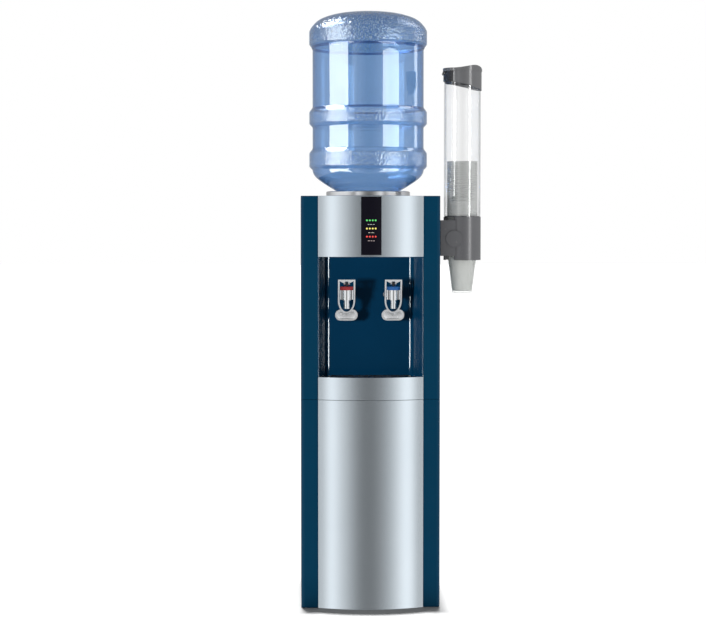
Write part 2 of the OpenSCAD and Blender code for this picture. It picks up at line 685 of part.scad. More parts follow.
module rocker(x)
  translate([x, yr - 3, sw_z]) rotate([-7, 0, 0])
    union() {
      translate([-8.6, 0, 0]) rotate([90, 0, 90]) linear_extrude(17.2)
        polygon([[-5, -9.5], [-8, -3], [-8, 3], [-5, 9.5], [4.6, 11], [6, 10.4], [4.6, 0], [6, -10.4], [4.6, -11]]);
      xcyl(1.5, -10.6, 10.6, 0, 0);
    }
module rocker_hot() color("firebrick") rocker(sw_x[0]);
module rocker_cold() color("seagreen") rocker(sw_x[1]);

module cable_gland() color(dark)
  difference() {
    union() {
      ycyl(8, yr - 6, yr + 0.3, -100, 290);
      ycyl(12, yr + 0.2, yr + 4, -100, 290);
      translate([-100, yr + 4, 290]) rotate([-90, 0, 0]) cylinder(r1 = 8, r2 = 6.4, h = 8);
      ycyl(10.5, yr - 5.4, yr - 1.4, -100, 290);
    }
    ycyl(3.75, yr - 8, yr + 14, -100, 290);
  }

// ---------- cup dispenser ----------

module at_disp() translate([disp_x, disp_y, 0]) children();

module dispenser_bracket() color(grey) {
  difference() {
    union() {
      box(hw + 0.2, hw + 3.2, disp_y - 30, disp_y + 30, 783, 869);
      box(hw + 3, disp_x - 18.4, disp_y - 40.4, disp_y + 37.4, 786, 866);
      // round boss over the clamp, standing just proud of the plate and the collar
      ycyl(18.5, disp_y - 42.6, disp_y - 30, disp_x - 21.8, 824.3);
    }
    zcyl(collar_r + 0.25, 700, 900, disp_x, disp_y);
    for (z = [800, 850]) xcyl(2.2, hw - 5, hw + 12, disp_y, z);
    box(hw + 3.2, disp_x - 45, disp_y - 30, disp_y + 30, 792, 860);
  }
}

module dispenser_collar() color(grey)
  difference() {
    at_disp() rotate_extrude($fn = 120)
      polygon([[collar_r, collar_z0], [collar_r, collar_z1], [tube_r - 1.8, collar_z1], [tube_r - 1.8, collar_z1 + 2.6], [36.7, collar_z1 + 2.6],
               [36.7, 802], [35.5, 798], [35.5, 784], [38.6, 779], [38.6, collar_z0]]);
    box(disp_x - 46, disp_x - 21.8, disp_y - 46, disp_y - 10, 866.2, collar_z1 + 0.01);
    box(disp_x - 46, disp_x - 21.8, disp_y - 46, disp_y - 10, collar_z0 - 1, 785.8);
  }

tube_z1 = 1177;             // top of the clear tube, just inside the lid
hinge_x = disp_x - 42.6;
hinge_z = 1196.4;
split_x = disp_x - 24.5;    // the hinge block is left of this, the lid's skirt right of it

module dispenser_tube() color([0.85, 0.87, 0.87, 0.4]) at_disp()
  difference() {
    zcyl(tube_r, collar_z1 + 0.1, tube_z1, 0, 0);
    zcyl(tube_r - 1.6, 700, 1200, 0, 0);
  }

// side outline of the lid from its lower edge: level by the hinge, rising to a peak, deeper away from the hinge
lid_low = [[-60, 1181.6], [-39, 1178.2], [-24, 1175.7], [-10, 1172.8], [12.7, 1168.1], [29.4, 1161.8], [41.5, 1158.6], [60, 1154]];
lid_top = [[60, 1203], [44.4, 1203], [43.2, 1206], [40.5, 1208.9], [36, 1211.4], [30, 1213], [24, 1213.2], [16, 1212.2], [4, 1209.8], [-8, 1207.8], [-18, 1207.1], [-60, 1208.3]];
function lid_hollow() = [[-25, 1140], [60, 1140], [60, 1198.6], [42.9, 1198.6], [41, 1203.4], [38, 1206.9], [33, 1209.6], [26, 1210.8], [16, 1209.8], [4, 1207.4], [-8, 1205.4], [-20, 1204.6], [-20, 1200.7], [-25, 1200.7]];

module side_cut(pts) translate([disp_x, disp_y + 60, 0]) rotate([90, 0, 0]) linear_extrude(120) polygon(pts);

// hinge block on the wall side, with a slim ring that seats in the mouth of the tube
module dispenser_top_ring() color(grey)
  difference() {
    union() {
      intersection() {
        difference() {
          at_disp() zcyl(43.2, 1150, 1200.1, 0, 0);
          at_disp() zcyl(tube_r + 0.05, 1140, tube_z1 + 0.1, 0, 0);
        }
        side_cut(concat(lid_low, [[60, 1210], [-60, 1210]]));
        box(disp_x - 60, split_x - 0.3, disp_y - 60, disp_y + 60, 1140, 1210);
      }
      at_disp() zcyl(tube_r - 1.65, tube_z1 - 2.6, tube_z1 + 0.2, 0, 0);
      for (s = [-1, 1]) {
        ycyl(3, s > 0 ? disp_y + 6.3 : disp_y - 14, s > 0 ? disp_y + 14 : disp_y - 6.3, hinge_x, hinge_z);
      }
    }
    at_disp() zcyl(38.3, 1150, 1210, 0, 0);
    ycyl(1.5, disp_y - 20, disp_y + 20, hinge_x, hinge_z);
    ycyl(3.2, disp_y - 6.3, disp_y + 6.3, hinge_x, hinge_z);
    box(hinge_x - 6, hinge_x + 2.7, disp_y - 6.3, disp_y + 6.3, hinge_z, 1201);
  }

module lid_pin() color(steel) ycyl(1.5, disp_y - 14, disp_y + 14, hinge_x, hinge_z);

module dispenser_lid() color(grey)
  difference() {
    union() {
      difference() {
        union() {
          intersection() {
            at_disp() zcyl(43.2, 1150, 1202, 0, 0);
            side_cut(concat(lid_low, [[60, 1210], [-60, 1210]]));
            box(split_x + 0.3, disp_x + 60, disp_y - 60, disp_y + 60, 1150, 1203);
          }
          intersection() {
            at_disp() zcyl(44.3, 1200.7, 1220, 0, 0);
            side_cut(concat([[-60, 1200.7], [60, 1200.7]], lid_top));
          }
        }
        intersection() {
          at_disp() zcyl(42.2, 1130, 1230, 0, 0);
          side_cut(lid_hollow());
        }
      }
      ycyl(2.7, disp_y - 6, disp_y + 6, hinge_x, hinge_z);
      box(hinge_x - 2.2, hinge_x + 2.2, disp_y - 6, disp_y + 6, hinge_z, 1201);
    }
    ycyl(1.55, disp_y - 20, disp_y + 20, hinge_x, hinge_z);
  }

rim_r = 35;
cup_h = 92;
base_r = 22.5;
wall_r = 33.6;
pitch = 4.6;

module next_cup() color([0.85, 0.86, 0.86, 0.7]) translate([disp_x, disp_y, cup_z]) rotate_extrude($fn = 96)
  polygon([[0, 1.6], [18, 1.6], [19, 0], [base_r - 0.8, 0], [base_r, 1], [wall_r, 90], [rim_r, 90.2], [rim_r, 91.8], [wall_r, 92],
           [wall_r - 0.6, 91.4], [base_r - 0.7, 2.4], [19.4, 2.4], [18.6, 2.4], [0, 2.4]]);

// the nested cups above it: one solid with every rim showing
module cup_stack() color([0.8, 0.82, 0.82, 0.7]) translate([disp_x, disp_y, cup_z + pitch]) rotate_extrude($fn = 72)
  polygon(concat(
    [[0, 1.6], [base_r - 1.8, 1.6], [base_r - 1, 2.2], [wall_r - 1, 90]],
    [for (i = [0 : cups - 1]) each [[rim_r, 90.2 + i * pitch], [rim_r, 91.8 + i * pitch], [wall_r + 0.2, 92 + i * pitch], [wall_r + 0.2, 94.6 + i * pitch]]],
    [[wall_r - 0.6, 94.2 + (cups - 1) * pitch], [base_r - 0.7, 2.4 + (cups - 1) * pitch], [0, 2.4 + (cups - 1) * pitch]]));

base_plate();
side_panel_left();
side_panel_right();
rear_panel();
rear_screws();
top_cover();
front_frame_upper();
front_frame_lower();
lower_front_panel();
head_panel();
display_window();
led_board();
led_green();
led_yellow();
led_red();
niche_liner();
tray_fascia();
tray_housing();
drip_tray();
drip_grille();
bottle_collar();
bottle_receiver();
feed_probe();
bottle();
bottle_cap();
tap_body_hot();
tap_body_cold();
tap_ring_hot();
tap_ring_cold();
tap_plunger_hot();
tap_plunger_cold();
tap_lever_hot();
tap_lever_cold();
tap_spring_hot();
tap_spring_cold();
tap_nuts();
cold_tank();
cold_insulation();
evaporator_coil();
hot_tank();
heater_and_thermostats();
refrigerant_lines();
water_hoses();
compressor();
compressor_grommets();
condenser();
switch_bezel();
rocker_hot();
rocker_cold();
cable_gland();
drain_pipe();
drain_cap();
dispenser_bracket();
dispenser_collar();
dispenser_tube();
dispenser_top_ring();
dispenser_lid();
lid_pin();
cup_stack();
next_cup();
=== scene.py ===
"""Visual model and studio for the water cooler. Metres, +Z up, front faces -Y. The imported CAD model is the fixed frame."""
import json
import math

import bpy
import bmesh
from mathutils import Matrix, Vector

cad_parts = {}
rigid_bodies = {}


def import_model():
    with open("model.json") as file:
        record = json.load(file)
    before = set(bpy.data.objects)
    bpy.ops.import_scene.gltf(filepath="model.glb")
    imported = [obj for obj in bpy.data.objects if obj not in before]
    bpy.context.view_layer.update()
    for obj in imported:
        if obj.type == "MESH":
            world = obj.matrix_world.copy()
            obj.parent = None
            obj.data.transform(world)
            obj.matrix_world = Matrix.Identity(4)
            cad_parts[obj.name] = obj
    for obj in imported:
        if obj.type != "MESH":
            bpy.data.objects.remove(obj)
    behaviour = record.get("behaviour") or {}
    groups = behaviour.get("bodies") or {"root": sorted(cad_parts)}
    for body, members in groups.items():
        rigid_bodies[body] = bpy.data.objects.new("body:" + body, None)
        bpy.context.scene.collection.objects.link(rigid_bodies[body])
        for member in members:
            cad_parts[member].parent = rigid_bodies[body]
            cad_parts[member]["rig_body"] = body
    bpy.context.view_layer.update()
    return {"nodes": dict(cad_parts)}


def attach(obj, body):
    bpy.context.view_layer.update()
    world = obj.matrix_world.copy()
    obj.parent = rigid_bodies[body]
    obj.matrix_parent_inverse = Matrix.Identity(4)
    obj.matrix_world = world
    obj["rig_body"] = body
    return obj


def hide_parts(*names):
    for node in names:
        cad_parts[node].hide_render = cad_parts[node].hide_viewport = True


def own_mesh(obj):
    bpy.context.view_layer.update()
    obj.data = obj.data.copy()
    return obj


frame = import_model()
N = frame["nodes"]
scene = bpy.context.scene
MM = 0.001

# ------------------------------------------------------------------ numbers shared with the CAD source, in millimetres
HW = 155.0
YF, YR = -155.0, 155.0
YC = -180.0
ARC_R = (117.0**2 + 22.0**2) / 44.0
ARC_Y = YC + ARC_R
TAP_X, TAP_Y, PIN_Z = 52.5, -118.0, 724.5
PADDLE_W, LEVER_W, LEVER_LEAN = 50.7, 38.6, 15.5
BOT_Y = -10.0
DX, DY = 210.3, -80.0
CUP_Z, PITCH, CUPS = 700.0, 4.6, 45


# ------------------------------------------------------------------ camera
def make_camera():
    data = bpy.data.cameras.new("photo_camera")
    cam = bpy.data.objects.new("photo_camera", data)
    scene.collection.objects.link(cam)
    data.sensor_width = 36.0
    data.lens = 83.9
    data.shift_y = -0.0397
    data.clip_start, data.clip_end = 0.05, 200
    pitch, yaw = 0.03892, -0.03292
    fw = Vector((-math.sin(yaw) * math.cos(pitch), math.cos(yaw) * math.cos(pitch), -math.sin(pitch)))
    cam.location = (-0.1595, -3.80, 0.860)
    cam.rotation_euler = fw.to_track_quat("-Z", "Y").to_euler()
    scene.camera = cam


# ------------------------------------------------------------------ materials
MATS = {}


class Tree:
    """Small helper around a material's node tree."""

    def __init__(self, name):
        self.mat = bpy.data.materials.new(name)
        self.mat.use_nodes = True
        self.nt = self.mat.node_tree
        self.nt.nodes.clear()
        self.out = self.nt.nodes.new("ShaderNodeOutputMaterial")
        self.tc = self.nt.nodes.new("ShaderNodeTexCoord")
        MATS[name] = self.mat

    def node(self, kind, **props):
        n = self.nt.nodes.new(kind)
        for k, v in props.items():
            setattr(n, k, v)
        return n

    def link(self, a, b):
        self.nt.links.new(a, b)

    def coords(self, scale=(1, 1, 1), rot=(0, 0, 0)):
        m = self.node("ShaderNodeMapping")
        m.inputs["Scale"].default_value = scale
        m.inputs["Rotation"].default_value = rot
        self.link(self.tc.outputs["Object"], m.inputs["Vector"])
        return m.outputs["Vector"]

    def noise(self, scale, detail=3.0, rough=0.55, vec=None, distortion=0.0):
        n = self.node("ShaderNodeTexNoise")
        n.inputs["Scale"].default_value = scale
        n.inputs["Detail"].default_value = detail
        n.inputs["Roughness"].default_value = rough
        n.inputs["Distortion"].default_value = distortion
        self.link(vec if vec is not None else self.tc.outputs["Object"], n.inputs["Vector"])
        return n.outputs["Fac"]

    def voronoi(self, scale, feature="SMOOTH_F1", smooth=0.6, vec=None):
        n = self.node("ShaderNodeTexVoronoi", feature=feature)
        n.inputs["Scale"].default_value = scale
        if "Smoothness" in n.inputs:
            n.inputs["Smoothness"].default_value = smooth
        self.link(vec if vec is not None else self.tc.outputs["Object"], n.inputs["Vector"])
        return n.outputs["Distance"]

    def remap(self, src, lo, hi, frm=(0.25, 0.75)):
        n = self.node("ShaderNodeMapRange")
        n.inputs["From Min"].default_value = frm[0]
        n.inputs["From Max"].default_value = frm[1]
        n.inputs["To Min"].default_value = lo
        n.inputs["To Max"].default_value = hi
        self.link(src, n.inputs["Value"])
        return n.outputs["Result"]

    def math(self, op, a, b=None, clamp=False):
        n = self.node("ShaderNodeMath", operation=op, use_clamp=clamp)
        for i, v in enumerate((a, b)):
            if v is None:
                continue
            if isinstance(v, (int, float)):
                n.inputs[i].default_value = v
            else:
                self.link(v, n.inputs[i])
        return n.outputs[0]

    def mix_rgb(self, fac, a, b):
        n = self.node("ShaderNodeMix", data_type="RGBA")
        for sock, v in ((n.inputs[0], fac), (n.inputs[6], a), (n.inputs[7], b)):
            if isinstance(v, (int, float)):
                sock.default_value = v
            elif isinstance(v, (tuple, list)):
                sock.default_value = (*v[:3], 1.0)
            else:
                self.link(v, sock)
        return n.outputs[2]

    def bump(self, height, distance, strength=1.0, prev=None):
        n = self.node("ShaderNodeBump")
        n.inputs["Strength"].default_value = strength
        n.inputs["Distance"].default_value = distance
        self.link(height, n.inputs["Height"])
        if prev is not None:
            self.link(prev, n.inputs["Normal"])
        return n.outputs["Normal"]

    def principled(self, **vals):
        p = self.node("ShaderNodeBsdfPrincipled")
        for k, v in vals.items():
            sock = p.inputs[k.replace("_", " ")]
            if isinstance(v, (int, float)):
                sock.default_value = v
            elif isinstance(v, (tuple, list)):
                sock.default_value = (*v[:3], 1.0)
            else:
                self.link(v, sock)
        return p


def shade(rgb, k):
    return tuple(min(1.0, c * k) for c in rgb)


def solid(name, rgb, rough, metal=0.0, spec=0.5, var=0.06, var_scale=9.0, rvar=0.04, rscale=60.0,
          bump=0.00004, bscale=1400.0, coat=0.0, coat_rough=0.06, streak=None, sss=0.0, dust=0.0, satin_below=None):
    """A moulded, painted or metal surface: slow colour drift, uneven gloss and a fine surface texture."""
    t = Tree(name)
    vec = t.coords(streak) if streak else None
    drift = t.noise(var_scale, 4.0, 0.6)
    col = t.mix_rgb(t.remap(drift, 0.0, 1.0), shade(rgb, 1 - var), shade(rgb, 1 + var))
    if dust > 0:
        settled = t.remap(t.noise(240.0, 6.0, 0.75), 0.0, dust, (0.52, 0.85))
        col = t.mix_rgb(settled, col, (0.45, 0.44, 0.42))
    fine = t.noise(rscale, 3.0, 0.6, vec)
    r = t.remap(fine, max(0.02, rough - rvar), min(1.0, rough + rvar), (0.3, 0.7))
    grain = t.noise(bscale, 2.0, 0.5, vec)
    nrm = t.bump(grain, bump)
    if satin_below is not None:
        sep = t.node("ShaderNodeSeparateXYZ")
        t.link(t.tc.outputs["Object"], sep.inputs[0])
        worn = t.remap(sep.outputs["Y"], 1.0, 0.0, (satin_below, satin_below + 0.002))
        r = t.math("ADD", r, t.math("MULTIPLY", worn, 0.17))
    p = t.principled(Base_Color=col, Roughness=r, Metallic=metal, Specular_IOR_Level=spec, Normal=nrm)
    if coat:
        p.inputs["Coat Weight"].default_value = coat
        p.inputs["Coat Roughness"].default_value = coat_rough
    if sss:
        p.inputs["Subsurface Weight"].default_value = sss
        p.inputs["Subsurface Scale"].default_value = 0.004
    t.link(p.outputs[0], t.out.inputs["Surface"])
    return t.mat


def glow(name, rgb, strength):
    """A lit lens: glowing in its own colour, with a slight random tone."""
    t = Tree(name)
    lw = t.node("ShaderNodeLayerWeight")
    lw.inputs["Blend"].default_value = 0.35
    col = t.mix_rgb(t.noise(900.0, 2.0), shade(rgb, 0.9), rgb)
    p = t.principled(Base_Color=col, Roughness=0.2, Specular_IOR_Level=0.4)
    t.link(col, p.inputs["Emission Color"])
    p.inputs["Emission Strength"].default_value = strength
    t.link(p.outputs[0], t.out.inputs["Surface"])
    return t.mat


def make_silver():
    """Satin silver paint over plastic: fine metallic flake, very slight cloudiness."""
    t = Tree("silver_satin")
    cloud = t.noise(5.0, 3.0, 0.55)
    base = t.mix_rgb(t.remap(cloud, 0.0, 1.0), (0.675, 0.745, 0.800), (0.715, 0.782, 0.835))
    flake = t.voronoi(5200.0, "F1")
    base = t.mix_rgb(t.remap(flake, 0.0, 0.10, (0.1, 0.7)), base, (0.93, 0.95, 0.97))
    r = t.remap(t.noise(2600.0, 3.0, 0.6), 0.185, 0.235, (0.3, 0.7))
    nrm = t.bump(t.noise(3800.0, 2.0, 0.5), 0.000006, 0.6)
    p = t.principled(Base_Color=base, Roughness=r, Metallic=1.0, Normal=nrm)
    p.inputs["Specular IOR Level"].default_value = 0.5
    t.link(p.outputs[0], t.out.inputs["Surface"])
    return t.mat


def make_clear(name, tint, edge_tint, ior=1.55, rough=0.02, haze=0.0, haze_rgb=(0.8, 0.85, 0.9), pebble=None, streaks=False, deep=None):
    """A thin clear plastic wall: tinted see-through, mirror-like gloss by Fresnel and a little haze.
    pebble gives the height bands (metres) where the wall carries a stippled texture."""
    t = Tree(name)
    lw = t.node("ShaderNodeLayerWeight")
    lw.inputs["Blend"].default_value = 0.5
    drift = t.remap(t.noise(14.0, 3.0, 0.5), 0.0, 0.06)
    rim = t.math("ADD", t.math("POWER", lw.outputs["Facing"], 4.0), drift, clamp=True)
    see = t.node("ShaderNodeBsdfTransparent")
    f0 = ((ior - 1) / (ior + 1)) ** 2
    lf = t.node("ShaderNodeLayerWeight")
    lf.inputs["Blend"].default_value = 0.5
    gloss_fac = t.math("ADD", t.math("MULTIPLY", t.math("POWER", lf.outputs["Facing"], 5.0), (1 - f0) * 0.8), f0)
    r = t.remap(t.noise(120.0, 3.0), max(0.01, rough - 0.012), rough + 0.015)
    nrm = None
    mask = None
    if streaks:
        wav = t.noise(26.0, 2.0, 0.5, t.coords((1.0, 1.0, 0.06)))
        nrm = t.bump(wav, 0.0006, 0.5)
    if pebble:
        sep = t.node("ShaderNodeSeparateXYZ")
        t.link(t.tc.outputs["Object"], sep.inputs[0])
        z = sep.outputs["Z"]
        for lo, hi, soft in pebble:
            up = t.node("ShaderNodeMapRange", interpolation_type="SMOOTHSTEP")
            for k, v in (("From Min", lo - soft), ("From Max", lo + soft), ("To Min", 0.0), ("To Max", 1.0)):
                up.inputs[k].default_value = v
            t.link(z, up.inputs["Value"])
            dn = t.node("ShaderNodeMapRange", interpolation_type="SMOOTHSTEP")
            for k, v in (("From Min", hi - soft), ("From Max", hi + soft), ("To Min", 1.0), ("To Max", 0.0)):
                dn.inputs[k].default_value = v
            t.link(z, dn.inputs["Value"])
            m = t.math("MULTIPLY", up.outputs[0], dn.outputs[0])
            mask = m if mask is None else t.math("ADD", mask, m, clamp=True)
        stipple = t.voronoi(185.0, "SMOOTH_F1", 0.30)
        grit = t.noise(200.0, 2.0, 0.6)
        h = t.math("MULTIPLY", t.math("ADD", stipple, t.math("MULTIPLY", grit, 0.7)), mask)
        nrm = t.bump(h, 0.0008, 1.0, nrm)
        r = t.math("ADD", r, t.math("MULTIPLY", mask, 0.02))
        grain = t.remap(t.noise(330.0, 2.0, 0.6), 0.0, 1.0, (0.50, 0.60))
        rim = t.math("ADD", rim, t.math("MULTIPLY", t.math("MULTIPLY", mask, grain), -0.60))
        rim = t.math("ADD", rim, t.math("MULTIPLY", mask, 0.40), clamp=True)
    thin = tint
    if deep:
        thin = t.mix_rgb(t.math("MULTIPLY", m, 0.9), tint, deep)
    t.link(t.mix_rgb(rim, thin, edge_tint), see.inputs["Color"])
    gloss = t.node("ShaderNodeBsdfPrincipled")
    gloss.inputs["Base Color"].default_value = (1, 1, 1, 1)
    gloss.inputs["Metallic"].default_value = 1.0
    t.link(r, gloss.inputs["Roughness"])
    if nrm is not None:
        t.link(nrm, gloss.inputs["Normal"])
        t.link(nrm, lf.inputs["Normal"])
        t.link(nrm, lw.inputs["Normal"])
    mix = t.node("ShaderNodeMixShader")
    t.link(gloss_fac, mix.inputs[0])
    t.link(see.outputs[0], mix.inputs[1])
    t.link(gloss.outputs[0], mix.inputs[2])
    last = mix
    if haze > 0:
        body = t.node("ShaderNodeBsdfPrincipled")
        hz = t.mix_rgb(t.remap(t.noise(40.0, 3.0), 0.0, 1.0), shade(haze_rgb, 0.94), haze_rgb)
        if mask is None:
            t.link(hz, body.inputs["Base Color"])
        body.inputs["Roughness"].default_value = 0.45
        body.inputs["Specular IOR Level"].default_value = 0.2
        if nrm is not None:
            t.link(nrm, body.inputs["Normal"])
        m2 = t.node("ShaderNodeMixShader")
        if mask is not None:
            frost = t.mix_rgb(mask, hz, (0.70, 0.80, 0.88))
            t.link(frost, body.inputs["Base Color"])
            t.link(t.math("ADD", t.math("MULTIPLY", mask, t.math("ADD", t.math("MULTIPLY", grain, 0.20), 0.0)), haze), m2.inputs[0])
        else:
            m2.inputs[0].default_value = haze
        t.link(mix.outputs[0], m2.inputs[1])
        t.link(body.outputs[0], m2.inputs[2])
        last = m2
    t.link(last.outputs[0], t.out.inputs["Surface"])
    return t.mat


def make_cup(name, fill, shade_k, through, see_rgb, edge):
    """Thin translucent cup plastic, milky, with its moulding ribs showing as light and dark lines."""
    t = Tree(name)
    see = t.node("ShaderNodeBsdfTransparent")
    see.inputs["Color"].default_value = (*see_rgb, 1)
    cloud = t.noise(70.0, 3.0, 0.6, t.coords((1, 1, 0.25)))
    base = t.mix_rgb(t.remap(cloud, 0.0, 1.0), shade((0.70, 0.71, 0.69), shade_k), shade((0.82, 0.83, 0.81), shade_k))
    body = t.principled(Base_Color=base, Roughness=0.26, Specular_IOR_Level=0.75, Metallic=0.15)
    body.inputs["Coat Weight"].default_value = 0.25
    body.inputs["Coat Roughness"].default_value = 0.12
    mix = t.node("ShaderNodeMixShader")
    lw = t.node("ShaderNodeLayerWeight")
    lw.inputs["Blend"].default_value = 0.3
    t.link(t.math("ADD", t.math("MULTIPLY", lw.outputs["Facing"], edge), fill, clamp=True), mix.inputs[0])
    back = t.node("ShaderNodeBsdfTranslucent")
    back.inputs["Color"].default_value = (0.92, 0.93, 0.91, 1)
    milk = t.node("ShaderNodeMixShader")
    milk.inputs[0].default_value = through
    t.link(body.outputs[0], milk.inputs[1])
    t.link(back.outputs[0], milk.inputs[2])
    t.link(see.outputs[0], mix.inputs[1])
    t.link(milk.outputs[0], mix.inputs[2])
    t.link(mix.outputs[0], t.out.inputs["Surface"])
    return t.mat


def make_materials():
    solid("teal_gloss", (0.0007, 0.037, 0.080), 0.16, spec=0.10, var=0.05, rvar=0.03, bump=0.00001, bscale=900.0)
    solid("teal_liner", (0.0003, 0.0096, 0.0240), 0.085, spec=0.13, var=0.06, rvar=0.02, rscale=30.0, bump=0.000006, bscale=500.0,
          satin_below=-0.0875)
    MATS["teal_liner"].node_tree.nodes["Principled BSDF"].inputs["IOR"].default_value = 1.32
    solid("teal_paint", (0.0010, 0.036, 0.076), 0.30, spec=0.20, var=0.05, rvar=0.05, bump=0.00006, bscale=620.0)
    make_silver()
    solid("collar_metal", (0.62, 0.62, 0.63), 0.20, metal=1.0, var=0.04, rvar=0.05, rscale=260.0, streak=(1, 1, 14), bump=0.00002, bscale=300.0)
    solid("chrome", (0.86, 0.865, 0.875), 0.085, metal=1.0, var=0.02, rvar=0.035, rscale=90.0, bump=0.00001, bscale=380.0)
    solid("lever_chrome", (0.84, 0.85, 0.86), 0.24, metal=0.85, var=0.03, rvar=0.04, rscale=120.0, bump=0.00001, bscale=420.0)
    solid("window_gloss", (0.0035, 0.003, 0.0075), 0.07, spec=0.28, var=0.1, rvar=0.02, bump=0.000004, bscale=300.0)
    # near-black plunger stem: black plastic, and partly a painted shade for the dark between the lever's arms
    solid("stem_black", (0.016, 0.018, 0.022), 0.22, spec=0.5, var=0.08, rvar=0.05, bump=0.00002)
    solid("mark_green", (0.62, 0.70, 0.63), 0.5, var=0.05)
    solid("mark_yellow", (0.70, 0.69, 0.56), 0.5, var=0.05)
    solid("mark_red", (0.70, 0.56, 0.54), 0.5, var=0.05)
    glow("led_green_lit", (0.11, 0.62, 0.15), 0.46)
    glow("led_yellow_lit", (0.78, 0.68, 0.16), 0.50)
    glow("led_red_lit", (0.80, 0.07, 0.06), 0.40)
    solid("board", (0.02, 0.13, 0.055), 0.45, var=0.18, var_scale=120.0, bump=0.00003)
    solid("dark_moulded", (0.021, 0.022, 0.026), 0.42, spec=0.4, var=0.12, rvar=0.08, bump=0.00007, bscale=1700.0)
    solid("grille_satin", (0.030, 0.034, 0.040), 0.26, spec=0.5, var=0.10, rvar=0.05, bump=0.00003, bscale=1500.0)
    solid("white_moulded", (0.72, 0.72, 0.69), 0.38, spec=0.45, var=0.04, rvar=0.06, bump=0.00004, bscale=1300.0, sss=0.08)
    solid("cap_moulded", (0.50, 0.66, 0.86), 0.34, spec=0.5, var=0.05, rvar=0.06, bump=0.00005, bscale=1500.0, sss=0.1)
    solid("ring_red", (0.30, 0.012, 0.016), 0.22, spec=0.5, var=0.07, rvar=0.05, bump=0.00003, bscale=1500.0)
    solid("ring_blue", (0.008, 0.105, 0.34), 0.22, spec=0.5, var=0.07, rvar=0.05, bump=0.00003, bscale=1500.0)
    solid("rocker_red", (0.45, 0.012, 0.010), 0.30, spec=0.5, var=0.06, bump=0.00004)
    solid("rocker_green", (0.010, 0.20, 0.055), 0.30, spec=0.5, var=0.06, bump=0.00004)
    solid("cap_red", (0.42, 0.016, 0.012), 0.36, spec=0.5, var=0.06, bump=0.00005)
    solid("mark_white", (0.75, 0.75, 0.75), 0.5, var=0.03)
    solid("steel_plain", (0.56, 0.57, 0.58), 0.32, metal=1.0, var=0.06, rvar=0.09, rscale=160.0, streak=(1, 1, 9), bump=0.00005, bscale=520.0)
    solid("spring_steel", (0.60, 0.60, 0.61), 0.24, metal=1.0, var=0.05, rvar=0.05)
    solid("copper_pipe", (0.72, 0.36, 0.22), 0.30, metal=1.0, var=0.16, var_scale=35.0, rvar=0.10, rscale=130.0, bump=0.00004, bscale=700.0)
    solid("black_enamel", (0.012, 0.012, 0.013), 0.33, spec=0.5, var=0.15, rvar=0.08, bump=0.00010, bscale=650.0, dust=0.10)
    solid("rear_paint", (0.020, 0.022, 0.025), 0.46, spec=0.4, var=0.10, rvar=0.07, bump=0.00009, bscale=1100.0, dust=0.05)
    solid("rubber_black", (0.012, 0.012, 0.012), 0.72, spec=0.3, var=0.18, bump=0.00010, bscale=1500.0)
    solid("foam_white", (0.80, 0.80, 0.76), 0.85, spec=0.2, var=0.05, bump=0.0006, bscale=330.0)
    solid("hose_silicone", (0.70, 0.71, 0.68), 0.35, spec=0.5, var=0.05, bump=0.00003, sss=0.2)
    solid("grey_moulded", (0.112, 0.112, 0.118), 0.24, spec=0.40, var=0.06, rvar=0.035, rscale=80.0, bump=0.000012, bscale=900.0)
    solid("grey_lid", (0.128, 0.128, 0.133), 0.18, spec=0.42, var=0.08, rvar=0.03, rscale=60.0, bump=0.00001, bscale=800.0)
    # darker grey for the top ring and hinge block: a darker plastic, and partly a painted dark reflection on the lid's
    # hinge side
    solid("grey_dark", (0.030, 0.030, 0.033), 0.26, spec=0.22, var=0.06, rvar=0.035, rscale=80.0, bump=0.000012, bscale=900.0)
    make_clear("bottle_clear", (0.650, 0.755, 0.872), (0.42, 0.57, 0.76), ior=1.585, rough=0.018, haze=0.035,
               haze_rgb=(0.16, 0.30, 0.55), streaks=True, deep=(0.50, 0.63, 0.75),
               pebble=[(0.9875, 1.0215, 0.0030), (1.0858, 1.1155, 0.0030), (1.2655, 1.40, 0.0035)])
    make_clear("tube_wall", (0.985, 0.986, 0.986), (0.80, 0.805, 0.81), ior=1.49, rough=0.02, haze=0.012, haze_rgb=(0.8, 0.8, 0.82))
    make_cup("cup_translucent", 0.045, 1.16, 0.40, (0.985, 0.987, 0.983), 0.34)
    make_cup("cup_stacked", 0.56, 0.84, 0.12, (0.955, 0.96, 0.955), 0.40)
    for m in MATS.values():
        m.diffuse_color = (0.5, 0.5, 0.5, 1)


# ------------------------------------------------------------------ mesh tools
def finish_bm(bm, name, mat, body, replaces=(), sharp=50.0, weighted=True):
    bmesh.ops.recalc_face_normals(bm, faces=bm.faces)
    me = bpy.data.meshes.new(name)
    bm.to_mesh(me)
    bm.free()
    me.polygons.foreach_set("use_smooth", [True] * len(me.polygons))
    me.set_sharp_from_angle(angle=math.radians(sharp))
    me.materials.append(MATS[mat])
    o = bpy.data.objects.new(name, me)
    scene.collection.objects.link(o)
    if weighted:
        w = o.modifiers.new("normals", "WEIGHTED_NORMAL")
        w.mode = "FACE_AREA"
        w.weight = 60
        w.keep_sharp = True
    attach(o, body)
    if replaces:
        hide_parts(*replaces)
    return o


